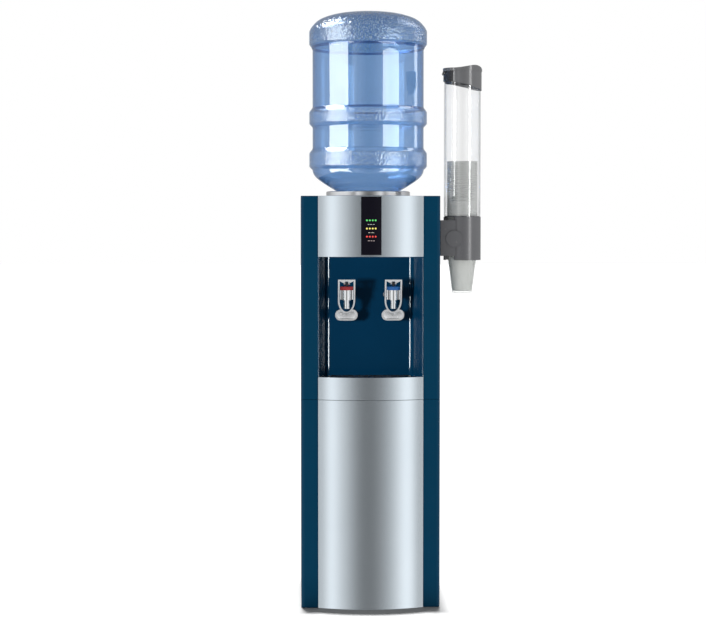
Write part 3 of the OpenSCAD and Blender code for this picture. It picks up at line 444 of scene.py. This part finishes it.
def refine(node, mat, bevel=0.5, segs=2, min_angle=30.0, name=None, pick=None, sharp=50.0, also=None):
    """A detailed stand-in for a CAD node: its own shape with merged faces and rounded edges (bevel in mm)."""
    src = N[node]
    bm0 = bmesh.new()
    bm0.from_mesh(src.data)
    bmesh.ops.remove_doubles(bm0, verts=bm0.verts, dist=2e-6)
    bmesh.ops.dissolve_limit(bm0, angle_limit=math.radians(0.5), verts=bm0.verts, edges=bm0.edges)
    bm0.verts.index_update()
    verts = [v.co.copy() for v in bm0.verts]
    faces = [[v.index for v in f.verts] for f in bm0.faces]
    bm0.free()
    bm = bmesh.new()
    vs = [bm.verts.new(v) for v in verts]
    for f in faces:
        try:
            bm.faces.new([vs[i] for i in f])
        except ValueError:
            pass
    bm.normal_update()
    if bevel > 0:
        edges = []
        for e in bm.edges:
            if len(e.link_faces) != 2:
                continue
            if math.degrees(e.calc_face_angle(0.0)) < min_angle:
                continue
            if pick and not pick(e):
                continue
            edges.append(e)
        if edges:
            bmesh.ops.bevel(bm, geom=edges, offset=bevel * MM, offset_type="OFFSET", segments=segs,
                            profile=0.5, affect="EDGES", clamp_overlap=True, loop_slide=True)
    if also:
        also(bm)
    body = src["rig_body"]
    return finish_bm(bm, (name or node + "_finished"), mat, body, [node], sharp)


def carry(node, mat):
    """A CAD node that keeps its own shape and gets a finished material."""
    o = N[node]
    o.data.materials.clear()
    o.data.materials.append(MATS[mat])


def ring_verts(bm, pts):
    return [bm.verts.new(Vector(p) * MM) for p in pts]


def bridge(bm, a, b, closed=True):
    n = len(a)
    for i in range(n if closed else n - 1):
        j = (i + 1) % n
        try:
            bm.faces.new((a[i], a[j], b[j], b[i]))
        except ValueError:
            pass


def lathe(bm, prof, cx, cy, segs, closed=True, rfun=None):
    """Turns a profile of (r, z) points about a vertical axis. closed joins the last point to the first."""
    rings = []
    for r, z in prof:
        if r <= 1e-6:
            rings.append([bm.verts.new(Vector((cx, cy, z)) * MM)])
            continue
        row = []
        for i in range(segs):
            a = 2 * math.pi * i / segs
            rr = rfun(r, z, a) if rfun else r
            row.append(bm.verts.new(Vector((cx + rr * math.cos(a), cy + rr * math.sin(a), z)) * MM))
        rings.append(row)
    pairs = list(zip(rings, rings[1:]))
    if closed:
        pairs.append((rings[-1], rings[0]))
    for a, b in pairs:
        if len(a) == 1 and len(b) == 1:
            continue
        if len(a) == 1 or len(b) == 1:
            one, row = (a[0], b) if len(a) == 1 else (b[0], a)
            for i in range(segs):
                bm.faces.new((one, row[i], row[(i + 1) % segs]))
        else:
            bridge(bm, a, b)
    return rings


def smooth_profile(pts, per=4, corner=()):
    """Catmull-Rom through (r, z) points."""
    out = []
    n = len(pts)
    for i in range(n - 1):
        p0, p1, p2, p3 = pts[max(i - 1, 0)], pts[i], pts[i + 1], pts[min(i + 2, n - 1)]
        k = max(1, min(per, int(math.hypot(p2[0] - p1[0], p2[1] - p1[1]) / 0.8)))
        for s in range(k):
            t = s / k
            out.append(tuple(0.5 * ((2 * p1[d]) + (-p0[d] + p2[d]) * t + (2 * p0[d] - 5 * p1[d] + 4 * p2[d] - p3[d]) * t * t
                                    + (-p0[d] + 3 * p1[d] - 3 * p2[d] + p3[d]) * t * t * t) for d in (0, 1)))
    out.append(pts[-1])
    return out


def tube(bm, path, radius, sides=10, caps=True):
    """A round tube along a list of points (mm)."""
    pts = [Vector(p) for p in path]
    rows = []
    up = Vector((0, 0, 1))
    t0 = (pts[1] - pts[0]).normalized()
    if abs(t0.dot(up)) > 0.9:
        up = Vector((1, 0, 0))
    side = t0.cross(up).normalized()
    for i, p in enumerate(pts):
        t = (pts[min(i + 1, len(pts) - 1)] - pts[max(i - 1, 0)]).normalized()
        side = (side - t * side.dot(t)).normalized()
        nrm = t.cross(side)
        row = []
        for k in range(sides):
            a = 2 * math.pi * k / sides
            row.append(bm.verts.new((p + side * (radius * math.cos(a)) + nrm * (radius * math.sin(a))) * MM))
        rows.append(row)
    for a, b in zip(rows, rows[1:]):
        bridge(bm, a, b)
    if caps:
        bm.faces.new(list(reversed(rows[0])))
        bm.faces.new(rows[-1])


# ------------------------------------------------------------------ cabinet
def build_cabinet():
    refine("front_frame_upper", "teal_gloss", bevel=0.7, segs=3)
    refine("front_frame_lower", "teal_gloss", bevel=0.7, segs=3)
    refine("side_panel_left", "teal_paint", bevel=0.4, segs=2)
    refine("side_panel_right", "teal_paint", bevel=0.4, segs=2)
    refine("top_cover", "teal_gloss", bevel=0.9, segs=3)
    refine("rear_panel", "rear_paint", bevel=0.3, segs=1)
    refine("base_plate", "dark_moulded", bevel=0.8, segs=2)
    refine("lower_front_panel", "silver_satin", bevel=1.1, segs=4)
    refine("head_panel", "silver_satin", bevel=0.7, segs=3)
    refine("tray_fascia", "silver_satin", bevel=0.8, segs=3)
    refine("niche_liner", "teal_liner", bevel=0.8, segs=3)
    refine("display_window", "window_gloss", bevel=0.25, segs=2, pick=lambda e: abs(e.verts[0].co.x) > 0.0222 and abs(e.verts[1].co.x) > 0.0222)
    refine("rear_screws", "steel_plain", bevel=0.35, segs=2)
    refine("tray_housing", "dark_moulded", bevel=0.4, segs=2)
    refine("drip_tray", "dark_moulded", bevel=0.5, segs=2)
    refine("drip_grille", "grille_satin", bevel=0.5, segs=2)
    refine("bottle_collar", "collar_metal", bevel=0.0, sharp=42.0)
    refine("bottle_receiver", "white_moulded", bevel=0.0, sharp=42.0)
    refine("feed_probe", "white_moulded", bevel=0.3, segs=2)


def build_display():
    for row, mat in (("led_green", "led_green_lit"), ("led_yellow", "led_yellow_lit"), ("led_red", "led_red_lit")):
        refine(row, mat, bevel=0.25, segs=2)
    refine("led_board", "board", bevel=0.0)
    # small printed dashes under each row of lights
    rows = ((856.6, "mark_green", [(-6.2, 3.4), (-0.9, 5.4), (5.6, 3.0)]),
            (838.4, "mark_yellow", [(-4.4, 4.6), (3.2, 6.2)]),
            (820.6, "mark_red", [(-5.4, 4.2), (0.6, 3.4), (6.0, 3.6)]))
    for k, (z, mat, dashes) in enumerate(rows):
        bm = bmesh.new()
        for x0, w in dashes:
            n, h = 6, 1.0
            front, back = [], []
            outline = []
            for i in range(n + 1):
                a = math.pi / 2 + math.pi * i / n
                outline.append((x0 - w / 2 + h * 0.5 + 0.5 * h * math.cos(a), z + 0.5 * h * math.sin(a)))
            for i in range(n + 1):
                a = -math.pi / 2 + math.pi * i / n
                outline.append((x0 + w / 2 - h * 0.5 + 0.5 * h * math.cos(a), z + 0.5 * h * math.sin(a)))
            for x, zz in outline:
                y = ARC_Y - math.sqrt((ARC_R - 0.3) ** 2 - x * x)
                front.append(bm.verts.new(Vector((x, y - 0.06, zz)) * MM))
                back.append(bm.verts.new(Vector((x, y + 0.15, zz)) * MM))
            bm.faces.new(front)
            bm.faces.new(list(reversed(back)))
            bridge(bm, front, back)
        finish_bm(bm, f"display_dashes_{k + 1}", mat, "cabinet", weighted=False)


# ------------------------------------------------------------------ bottle
def bottle_profile():
    nr, br, R, top = 27.5, 127.5, 135.0, 1341.0
    return [(nr, 849), (nr, 896), (nr + 1, 901), (34, 907), (50, 918.6), (62, 926.2), (74.5, 934), (87, 941.4), (99, 948.8),
            (110, 956.3), (119, 963.8), (124.5, 971), (127.2, 977.5), (br + 0.3, 981.3), (131.5, 985), (134.2, 988.2), (R, 991.5), (R, 1017),
            (134.2, 1020.5), (131.5, 1024.5), (br + 0.3, 1029.5), (br, 1034), (br, 1075),
            (br + 0.3, 1078.8), (131.5, 1083), (134.2, 1086.4), (R, 1089.5), (R, 1111), (134.2, 1114.5), (131.5, 1118.5),
            (br + 0.3, 1123.3), (br, 1128), (br, 1253), (br + 0.4, 1257.5), (130.6, 1262.5), (133.8, 1267), (R, 1271),
            (R, 1294), (134.2, 1299), (131, 1305.3), (126.4, 1311.2), (119, 1318.8), (109, 1325.2), (95, 1330.6), (81, 1334.4), (66, 1337.2),
            (45, 1339.6), (22, 1340.7), (0, top)]


def build_bottle():
    prof = smooth_profile(bottle_profile(), 5)
    prof = [(min(max(r, 0.0), 135.0), min(z, 1341.0)) for r, z in prof]
    prof[-1] = (0.0, 1341.0)
    inner = []
    n = len(prof)
    for i, (r, z) in enumerate(prof):
        a, b = prof[max(i - 1, 0)], prof[min(i + 1, n - 1)]
        L = math.hypot(b[0] - a[0], b[1] - a[1])
        dr, dz = (b[0] - a[0]) / L, (b[1] - a[1]) / L
        inner.append((max(0.0, r - dz * 1.6), z + dr * 1.6))
    inner[0] = (inner[0][0], 849.0)
    inner[-1] = (0.0, 1341.0 - 1.6)
    keep = [p for p in inner[:-1] if p[0] > 0.6] + [inner[-1]]
    bm = bmesh.new()
    segs = 144
    outer_rings = lathe(bm, prof, 0, BOT_Y, segs, closed=False)
    inner_rings = lathe(bm, keep, 0, BOT_Y, segs, closed=False)
    bridge(bm, outer_rings[0], inner_rings[0])
    finish_bm(bm, "bottle_blown", "bottle_clear", "bottle", ["bottle"], sharp=60.0, weighted=False)
    # carrying bead round the neck and the snap-on cap with grip ribs
    bm = bmesh.new()
    bead = [(27.3, 876.0), (30.4, 876.5), (31.0, 877.4), (31.0, 878.2), (30.4, 879.0), (27.3, 879.6)]
    lathe(bm, bead, 0, BOT_Y, 96)
    finish_bm(bm, "bottle_neck_bead", "bottle_clear", "bottle", (), sharp=60.0, weighted=False)
    bm = bmesh.new()

    def ribs(r, z, a):
        return r - (0.35 if r > 28.9 and 848 < z < 869 and int(a / (2 * math.pi) * 144) % 2 else 0.0)

    cap = [(10, 845.6), (28.0, 845.6), (29.0, 845.9), (29.6, 846.8), (29.6, 849), (29.6, 868), (29.5, 871.2), (29.0, 872), (27.55, 872), (27.55, 848.4),
           (12, 848.4), (11.6, 864), (10, 864)]
    lathe(bm, cap, 0, BOT_Y, 144, rfun=ribs)
    finish_bm(bm, "bottle_cap_ribbed", "cap_moulded", "bottle", ["bottle_cap"], sharp=35.0)


# ------------------------------------------------------------------ taps
def dished_paddle(side, x):
    """Shallow dish that fills the recess in the lever's paddle, under the arch of its two arms."""
    half_w, z_hi, z_lo, rad = PADDLE_W / 2 - 3.3, -64.3, -83.7, 9.0
    cz = -78.6

    def inside(u, v):
        du = max(0.0, abs(u) - (half_w - rad))
        dv = max(0.0, abs(v - (z_hi + z_lo) / 2) - ((z_hi - z_lo) / 2 - rad))
        if math.hypot(du, dv) > rad:
            return False
        return (u / (LEVER_W / 2 + 0.35)) ** 2 + ((v + 39.4) / 30.4) ** 2 > 1.0 or v < -69.9

    n = 72
    reach = []
    for i in range(n):
        a = 2 * math.pi * i / n
        d = 0.0
        while d < 30 and inside((d + 0.1) * math.cos(a), cz + (d + 0.1) * math.sin(a)):
            d += 0.1
        reach.append(d)
    bm = bmesh.new()
    place = Matrix.Translation(Vector((x, TAP_Y, PIN_Z)) * MM) @ Matrix.Rotation(math.radians(LEVER_LEAN), 4, "X")
    rows = []
    for s, y in ((1.0, -1.32), (1.0, -2.30), (0.97, -2.42), (0.92, -2.36), (0.84, -2.16), (0.72, -1.92), (0.58, -1.73), (0.42, -1.60), (0.24, -1.53), (0.1, -1.51)):
        rows.append([bm.verts.new(Vector((reach[i] * s * math.cos(2 * math.pi * i / n), y, cz + reach[i] * s * math.sin(2 * math.pi * i / n))) * MM) for i in range(n)])
    for a, b in zip(rows, rows[1:]):
        bridge(bm, a, b)
    bm.faces.new(rows[-1])
    bm.faces.new(rows[0])
    bm.transform(place)
    finish_bm(bm, f"tap_lever_{side}_dish", "lever_chrome", f"{side}_lever", (), sharp=60.0)


def build_taps():
    for side, sx, ring_mat, ring_slot in (("hot", -1, "ring_red", "red_plastic"), ("cold", 1, "ring_blue", "blue_plastic")):
        x = sx * TAP_X
        refine(f"tap_body_{side}", "chrome", bevel=0.9, segs=3)
        # the plunger's near-black colour is partly painted shade between the lever's arms
        refine(f"tap_plunger_{side}", "stem_black", bevel=0.4, segs=2)
        refine(f"tap_lever_{side}", "lever_chrome", bevel=1.0, segs=3)
        dished_paddle(side, x)
        # ring with grip flutes and a rounded crown
        bm = bmesh.new()
        flutes = 30

        def fl(r, z, a, flutes=flutes):
            if r < 14.3 or z > 716.7 or z < 710.5:
                return r
            return r - 0.45 * (0.5 - 0.5 * math.cos(flutes * a)) ** 2

        prof = [(7.05, 707.0), (14.4, 707.0), (14.9, 707.3), (15.0, 707.9), (15.0, 708.6), (15.0, 710), (15.0, 712), (15.0, 713.6), (14.8, 714.4), (14.2, 715.1), (13.4, 715.4),
                (9.5, 715.4), (8.6, 714.9), (7.2, 714.7), (3.6, 714.7), (3.05, 714.2), (3.05, 712.2), (7.05, 712.2)]
        prof = [(r, z + 2.5) for r, z in prof]
        lathe(bm, prof, x, TAP_Y, flutes * 8, rfun=fl)
        finish_bm(bm, f"tap_ring_{side}_fluted", ring_mat, "cabinet", [f"tap_ring_{side}"], sharp=40.0)
        # return spring round the stem
        bm = bmesh.new()
        turns, n = 5.0, 120
        path = []
        for i in range(n + 1):
            s = i / n
            ease = min(1.0, max(0.0, (s - 0.08) / 0.84))
            a = 2 * math.pi * turns * s
            path.append((x + 4.9 * math.cos(a), TAP_Y + 4.9 * math.sin(a), 696.8 + (713.6 - 696.8) * ease))
        tube(bm, path, 0.55, 8)
        coil = finish_bm(bm, f"tap_spring_{side}_coil", "spring_steel", f"{side}_stem", [f"tap_spring_{side}"], sharp=60.0, weighted=False)
        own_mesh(coil)
    refine("tap_nuts", "white_moulded", bevel=0.5, segs=2)


# ------------------------------------------------------------------ dispenser and cups
def build_dispenser():
    refine("dispenser_bracket", "grey_moulded", bevel=0.8, segs=3)
    refine("dispenser_collar", "grey_moulded", bevel=0.5, segs=2)
    # the hinge block's dark grey is partly a painted dark reflection
    refine("dispenser_top_ring", "grey_dark", bevel=0.35, segs=2)
    refine("dispenser_lid", "grey_lid", bevel=1.0, segs=4)
    refine("lid_pin", "steel_plain", bevel=0.3, segs=2)
    bm = bmesh.new()
    prof = [(39.7, 873.5), (41.0, 873.5), (41.2, 873.8), (41.2, 900), (41.2, 960), (41.2, 1040), (41.2, 1120), (41.2, 1176.5), (40.9, 1177),
            (39.9, 1177), (39.6, 1176.5), (39.6, 1120), (39.6, 1040), (39.6, 960), (39.6, 900), (39.6, 873.9)]
    lathe(bm, prof, DX, DY, 128)
    finish_bm(bm, "dispenser_tube_clear", "tube_wall", "cabinet", ["dispenser_tube"], sharp=60.0, weighted=False)


def cup_wall(z0, ribs=True):
    """Outer profile of one cup from its foot to its rolled rim, heights from z0."""
    pts = [(0, 1.6), (17.6, 1.6), (18.4, 1.2), (19.0, 0.35), (19.6, 0.0), (21.4, 0.0), (22.2, 0.4), (22.6, 1.4)]
    z = 4.0
    while z < 47 and ribs:
        r = 22.5 + (33.6 - 22.5) * (z - 1) / 89.0
        pts += [(r + 0.22, z), (r + 0.22, z + 0.9), (r - 0.32, z + 1.25), (r - 0.32, z + 1.75)]
        z += 2.15
    if not ribs:
        pts.append((22.5 + 11.1 * 40 / 89.0, 41))
    pts += [(29.1, 55.0), (30.9, 68.5), (31.3, 70.0), (31.3, 71.2), (31.7, 73.0), (33.5, 89.4)]
    pts += [(34.3, 89.8), (34.8, 90.2), (35.0, 90.9), (34.8, 91.6), (34.3, 92.0), (33.8, 92.0), (33.3, 91.7)]
    inner = [(33.0, 91.0), (31.1, 73.2), (30.7, 71.4), (30.7, 69.8), (30.2, 67.8), (25.9, 31.0), (22.0, 2.6), (21.2, 2.4), (19.9, 2.4), (19.0, 2.45), (18.2, 2.4), (0, 2.4)]
    return [(r, z0 + z) for r, z in pts], [(r, z0 + z) for r, z in inner]


def build_cups():
    bm = bmesh.new()
    outer, inner = cup_wall(CUP_Z)
    a = lathe(bm, outer, DX, DY, 96, closed=False)
    b = lathe(bm, inner, DX, DY, 96, closed=False)
    bridge(bm, a[-1], b[0])
    finish_bm(bm, "next_cup_ribbed", "cup_translucent", "next_cup", ["next_cup"], sharp=40.0)
    # the nested stack: every rolled rim and the strip of wall between two rims
    bm = bmesh.new()
    z0 = CUP_Z + PITCH
    pts = [(0, z0 + 1.6), (19.5, z0 + 1.6), (20.7, z0 + 1.7), (21.5, z0 + 2.4), (32.55, z0 + 89.8)]
    for i in range(CUPS):
        z = z0 + i * PITCH
        pts += [(33.9, z + 90.2), (34.7, z + 90.3), (35.0, z + 91.0), (34.7, z + 91.7), (34.0, z + 91.95), (33.5, z + 92.6), (33.55, z + 94.3)]
    top = z0 + (CUPS - 1) * PITCH
    pts = pts[:-2]
    inner = [(33.0, top + 91.0), (31.1, top + 73.2), (30.7, top + 71.4), (30.7, top + 69.8), (25.9, top + 31.0), (22.0, top + 2.9), (21.2, top + 2.6), (0, top + 2.6)]
    a = lathe(bm, pts, DX, DY, 80, closed=False)
    b = lathe(bm, inner, DX, DY, 80, closed=False)
    bridge(bm, a[-1], b[0])
    finish_bm(bm, "cup_stack_nested", "cup_stacked", "cabinet", ["cup_stack"], sharp=40.0)


# ------------------------------------------------------------------ back and inside
def build_back():
    refine("switch_bezel", "dark_moulded", bevel=0.6, segs=2)
    refine("cable_gland", "dark_moulded", bevel=0.4, segs=2)
    refine("drain_pipe", "white_moulded", bevel=0.4, segs=2)
    refine("drain_cap", "cap_red", bevel=0.4, segs=2)
    for name, mat, slot_name, x in (("rocker_hot", "rocker_red", "red_plastic", 76.5), ("rocker_cold", "rocker_green", "green_plastic", 105.5)):
        refine(name, mat, bevel=0.5, segs=3)
        place = Matrix.Translation(Vector((x, YR - 3, 322.5)) * MM) @ Matrix.Rotation(math.radians(-7), 4, "X")
        bm = bmesh.new()

        def face_y(z):
            return 4.6 + 1.4 * abs(z) / 10.4

        # raised bar above, raised ring below
        for z0, z1 in ((3.4, 7.8),):
            cs = [(-0.55, z0), (0.55, z0), (0.55, z1), (-0.55, z1)]
            lo = [bm.verts.new(Vector((a, face_y(b) - 0.2, b)) * MM) for a, b in cs]
            hi = [bm.verts.new(Vector((a, face_y(b) + 0.15, b)) * MM) for a, b in cs]
            bm.faces.new(lo)
            bm.faces.new(hi)
            bridge(bm, lo, hi)
        rows = []
        for k, (rad, dy) in enumerate(((2.4, -0.2), (2.4, 0.15), (1.5, 0.15), (1.5, -0.2))):
            row = []
            for i in range(32):
                a = 2 * math.pi * i / 32
                zz = -5.6 + rad * math.sin(a)
                row.append(bm.verts.new(Vector((rad * math.cos(a), face_y(zz) + dy, zz)) * MM))
            rows.append(row)
        for a, b in zip(rows, rows[1:] + rows[:1]):
            bridge(bm, a, b)
        bm.transform(place)
        finish_bm(bm, f"{name}_marks", "mark_white", name, (), sharp=40.0, weighted=False)
    for node, mat in (("cold_tank", "steel_plain"), ("cold_insulation", "foam_white"), ("evaporator_coil", "copper_pipe"), ("hot_tank", "steel_plain"),
                      ("heater_and_thermostats", "copper_pipe"), ("refrigerant_lines", "copper_pipe"), ("water_hoses", "hose_silicone"),
                      ("compressor", "black_enamel"), ("compressor_grommets", "rubber_black"), ("condenser", "black_enamel")):
        carry(node, mat)


# ------------------------------------------------------------------ studio
def aim(o, target):
    d = Vector(target) - o.location
    o.rotation_euler = d.to_track_quat("-Z", "Y").to_euler()


def area(name, loc, target, w, h, radiance, rgb=(1, 1, 1), glossy=True, only=None, diffuse=True):
    """A rectangular soft light of a given radiance. only lists the objects it lights."""
    d = bpy.data.lights.new(name, "AREA")
    d.shape = "RECTANGLE"
    d.size, d.size_y = w, h
    d.energy = radiance * math.pi * w * h
    d.color = rgb
    o = bpy.data.objects.new(name, d)
    scene.collection.objects.link(o)
    o.location = loc
    aim(o, target)
    o.visible_glossy = glossy
    o.visible_diffuse = diffuse
    o.visible_camera = False
    o.visible_transmission = False
    if only:
        c = bpy.data.collections.new(name + "_on")
        for x in only:
            c.objects.link(x)
        o.light_linking.receiver_collection = c
    return o


def polar(target, az, el, dist):
    """Point seen from target at azimuth az (0 is towards the viewer, positive to the right) and elevation el."""
    a, e = math.radians(az), math.radians(el)
    return Vector(target) + Vector((math.sin(a) * math.cos(e), -math.cos(a) * math.cos(e), math.sin(e))) * dist


def make_world():
    """White round the object, and in reflections a soft studio of tall light panels with gaps between them."""
    w = bpy.data.worlds.new("studio")
    scene.world = w
    w.use_nodes = True
    nt = w.node_tree
    nt.nodes.clear()
    out = nt.nodes.new("ShaderNodeOutputWorld")
    tc = nt.nodes.new("ShaderNodeTexCoord")
    sep = nt.nodes.new("ShaderNodeSeparateXYZ")
    nt.links.new(tc.outputs["Generated"], sep.inputs[0])

    def m(op, a, b=None):
        n = nt.nodes.new("ShaderNodeMath")
        n.operation = op
        for i, v in enumerate((a, b)):
            if v is None:
                continue
            if isinstance(v, (int, float)):
                n.inputs[i].default_value = v
            else:
                nt.links.new(v, n.inputs[i])
        return n.outputs[0]

    az = m("ARCTAN2", sep.outputs["X"], m("MULTIPLY", sep.outputs["Y"], -1.0))
    pos = m("ADD", m("DIVIDE", az, 2 * math.pi), 0.5)
    ramp = nt.nodes.new("ShaderNodeValToRGB")
    cr = ramp.color_ramp
    cr.interpolation = "LINEAR"
    stops = [(-180, 0.40), (-135, 0.55), (-110, 0.95), (-92, 1.15), (-60, 1.15), (-50, 0.80), (-44, 0.38), (-38.5, 0.44), (-35.5, 0.86), (-31.5, 1.34), (-27.5, 1.18),
             (-24.5, 0.84), (-20, 0.70), (-14, 0.46), (-8, 0.235), (-3, 0.185), (4, 0.185), (9, 0.27), (14, 0.39), (20, 0.58), (25, 0.86), (29, 1.14), (34, 1.36),
             (38, 1.02), (41, 0.50), (45, 0.32), (52, 0.80), (60, 1.10), (95, 1.10), (130, 0.55), (180, 0.40)]
    while len(cr.elements) > 1:
        cr.elements.remove(cr.elements[-1])
    cr.elements[0].position = 0.0
    for deg, _ in stops[1:]:
        cr.elements.new(deg / 360.0 + 0.5)
    for e, (deg, v) in zip(cr.elements, stops):
        e.color = (v * 0.985, v, v * 1.01, 1)
    nt.links.new(pos, ramp.inputs[0])
    # overhead the studio is evenly soft
    high = nt.nodes.new("ShaderNodeMapRange")
    high.interpolation_type = "SMOOTHSTEP"
    for k, v in (("From Min", 0.55), ("From Max", 0.85), ("To Min", 0.0), ("To Max", 1.0)):
        high.inputs[k].default_value = v
    nt.links.new(sep.outputs["Z"], high.inputs["Value"])
    mixc = nt.nodes.new("ShaderNodeMix")
    mixc.data_type = "RGBA"
    nt.links.new(high.outputs[0], mixc.inputs[0])
    nt.links.new(ramp.outputs[0], mixc.inputs[6])
    mixc.inputs[7].default_value = (0.62, 0.63, 0.64, 1)
    bg_gloss = nt.nodes.new("ShaderNodeBackground")
    nt.links.new(mixc.outputs[2], bg_gloss.inputs["Color"])
    bg_gloss.inputs["Strength"].default_value = 1.0
    bg_soft = nt.nodes.new("ShaderNodeBackground")
    bg_soft.inputs["Color"].default_value = (0.96, 0.98, 1.0, 1)
    bg_soft.inputs["Strength"].default_value = 0.62
    bg_cam = nt.nodes.new("ShaderNodeBackground")
    bg_cam.inputs["Color"].default_value = (1, 1, 1, 1)
    bg_cam.inputs["Strength"].default_value = 1.0
    lp = nt.nodes.new("ShaderNodeLightPath")
    m1 = nt.nodes.new("ShaderNodeMixShader")
    nt.links.new(lp.outputs["Is Glossy Ray"], m1.inputs[0])
    nt.links.new(bg_soft.outputs[0], m1.inputs[1])
    nt.links.new(bg_gloss.outputs[0], m1.inputs[2])
    m2 = nt.nodes.new("ShaderNodeMixShader")
    nt.links.new(lp.outputs["Is Camera Ray"], m2.inputs[0])
    nt.links.new(m1.outputs[0], m2.inputs[1])
    nt.links.new(bg_cam.outputs[0], m2.inputs[2])
    nt.links.new(m2.outputs[0], out.inputs["Surface"])
    w.cycles.sampling_method = "NONE"


def make_stage():
    bm = bmesh.new()
    half, n = 30.0, 12
    grid = [[bm.verts.new((-half + 2 * half * i / n, -half + 2 * half * j / n, 0.0)) for i in range(n + 1)] for j in range(n + 1)]
    for j in range(n):
        for i in range(n):
            bm.faces.new((grid[j][i], grid[j][i + 1], grid[j + 1][i + 1], grid[j + 1][i]))
    me = bpy.data.meshes.new("studio_floor")
    bm.to_mesh(me)
    bm.free()
    t = Tree("floor_white")
    col = t.mix_rgb(t.remap(t.noise(1.5, 3.0), 0.0, 1.0), (0.208, 0.208, 0.208), (0.215, 0.215, 0.215))
    p = t.principled(Base_Color=col, Roughness=0.85, Specular_IOR_Level=0.1)
    t.link(p.outputs[0], t.out.inputs["Surface"])
    me.materials.append(t.mat)
    floor = bpy.data.objects.new("studio_floor", me)
    scene.collection.objects.link(floor)
    floor.visible_glossy = False
    return floor


def by_name(*starts):
    return [o for o in scene.objects if o.type == "MESH" and any(o.name.startswith(s) for s in starts)]


def make_lights(floor):
    # broad front key from the left, for the form only
    area("key_left", polar((0, -0.1, 0.72), -43, 6, 3.0), (0, -0.1, 0.70), 0.9, 1.6, 1.9, glossy=False)
    area("fill_right", polar((0, -0.1, 0.80), 35, 14, 3.2), (0, -0.1, 0.65), 1.2, 1.6, 0.55, glossy=False)
    # the floor's own wash
    d = bpy.data.lights.new("floor_wash", "SUN")
    d.energy, d.angle = 18.5, math.radians(4.0)
    o = bpy.data.objects.new("floor_wash", d)
    scene.collection.objects.link(o)
    o.rotation_euler = (math.radians(-6.0), math.radians(-0.4), 0)
    o.visible_glossy = False
    c = bpy.data.collections.new("floor_wash_on")
    c.objects.link(floor)
    o.light_linking.receiver_collection = c
    cast = bpy.data.collections.new("floor_wash_blockers")
    for ob in by_name("base_plate", "side_panel", "front_frame_lower", "lower_front_panel"):
        cast.objects.link(ob)
    o.light_linking.blocker_collection = cast
    # windows seen in the bottle
    bottle = by_name("bottle_blown", "bottle_neck_bead")
    t = (0.0, -0.010, 1.17)
    area("window_left", polar(t, -65.0, 2, 2.2), (t[0], t[1], 1.247), 1.77, 2.9, 8.6, (1.0, 0.985, 0.90), only=bottle, diffuse=False)
    area("window_right", polar(t, 45.0, -13, 2.26), (t[0], t[1], 0.626), 1.36, 1.6, 6.2, (0.98, 1.0, 0.93), only=bottle, diffuse=False)
    # slim panels that draw the bright lines in glossy plastic
    liner = by_name("niche_liner")
    t = (0.0, -0.10, 0.65)
    area("niche_line_left", polar(t, -46, -3, 1.7), t, 0.50, 1.5, 235.0, (0.94, 0.99, 1.0), only=liner, diffuse=False)
    area("niche_line_right", polar(t, 46, -3, 1.7), t, 0.50, 1.5, 225.0, (0.92, 0.99, 1.0), only=liner, diffuse=False)
    # key on the niche, with the taps' soft shadow on its back wall
    key = area("niche_key", polar((0, -0.072, 0.65), -44, 3, 3.0), (0, -0.072, 0.65), 0.40, 0.50, 415.0, glossy=False, only=liner)
    cast = bpy.data.collections.new("niche_key_blockers")
    for ob in by_name("tap_body", "tap_ring", "tap_lever", "tap_plunger"):
        cast.objects.link(ob)
    key.light_linking.blocker_collection = cast
    grey = by_name("dispenser_collar", "dispenser_lid", "dispenser_bracket", "dispenser_top", "dispenser_tube")
    t = (DX * MM, DY * MM, 1.0)
    area("grey_line_right", polar(t, 43, 0, 2.0), t, 0.42, 3.0, 9.0, only=grey, diffuse=False)
    area("grey_line_left", polar(t, -58, 0, 2.0), t, 0.20, 3.0, 9.0, only=grey, diffuse=False)
    # low panel in front of the taps, for their satin levers
    taps = by_name("tap_lever", "tap_plunger")
    area("lever_panel", (0.0, -1.15, 0.16), (0.0, -0.12, 0.66), 1.5, 0.42, 0.42, glossy=True, only=taps, diffuse=False)
    # high panels that the bottle's dome and bands pick up
    area("dome_left", polar((0, -0.01, 1.30), -106, 46, 1.7), (0, -0.01, 1.30), 0.95, 0.95, 26.0, (1.0, 1.0, 0.97), only=bottle, diffuse=False)
    area("dome_right", polar((0, -0.01, 1.30), 112, 40, 1.9), (0, -0.01, 1.30), 0.9, 0.9, 4.5, (1.0, 1.0, 0.97), only=bottle, diffuse=False)
    edge = area("window_edge", polar((0.0, -0.010, 1.17), 112, 2, 2.2), (0.0, -0.010, 1.10), 0.42, 1.5, 4.0, (1.0, 1.0, 0.97), only=bottle, diffuse=False)
    cast = bpy.data.collections.new("window_edge_blockers")
    for ob in bottle:
        cast.objects.link(ob)
    edge.light_linking.blocker_collection = cast
    # low panels that carry the windows on round the bottle's shoulder
    t = (0.0, -0.010, 0.968)
    area("shoulder_left", polar(t, -65, -30, 1.0), t, 0.80, 0.62, 6.5, (1.0, 0.985, 0.92), only=bottle, diffuse=False)
    area("shoulder_right", polar(t, 45, -30, 1.0), t, 0.60, 0.62, 5.0, (1.0, 0.985, 0.94), only=bottle, diffuse=False)


def main():
    scene.view_settings.view_transform = "Standard"
    scene.cycles.transparent_max_bounces = 48
    scene.cycles.max_bounces = 14
    scene.cycles.glossy_bounces = 6
    make_camera()
    make_materials()
    build_cabinet()
    build_display()
    build_bottle()
    build_taps()
    build_dispenser()
    build_cups()
    build_back()
    make_world()
    make_lights(make_stage())


main()
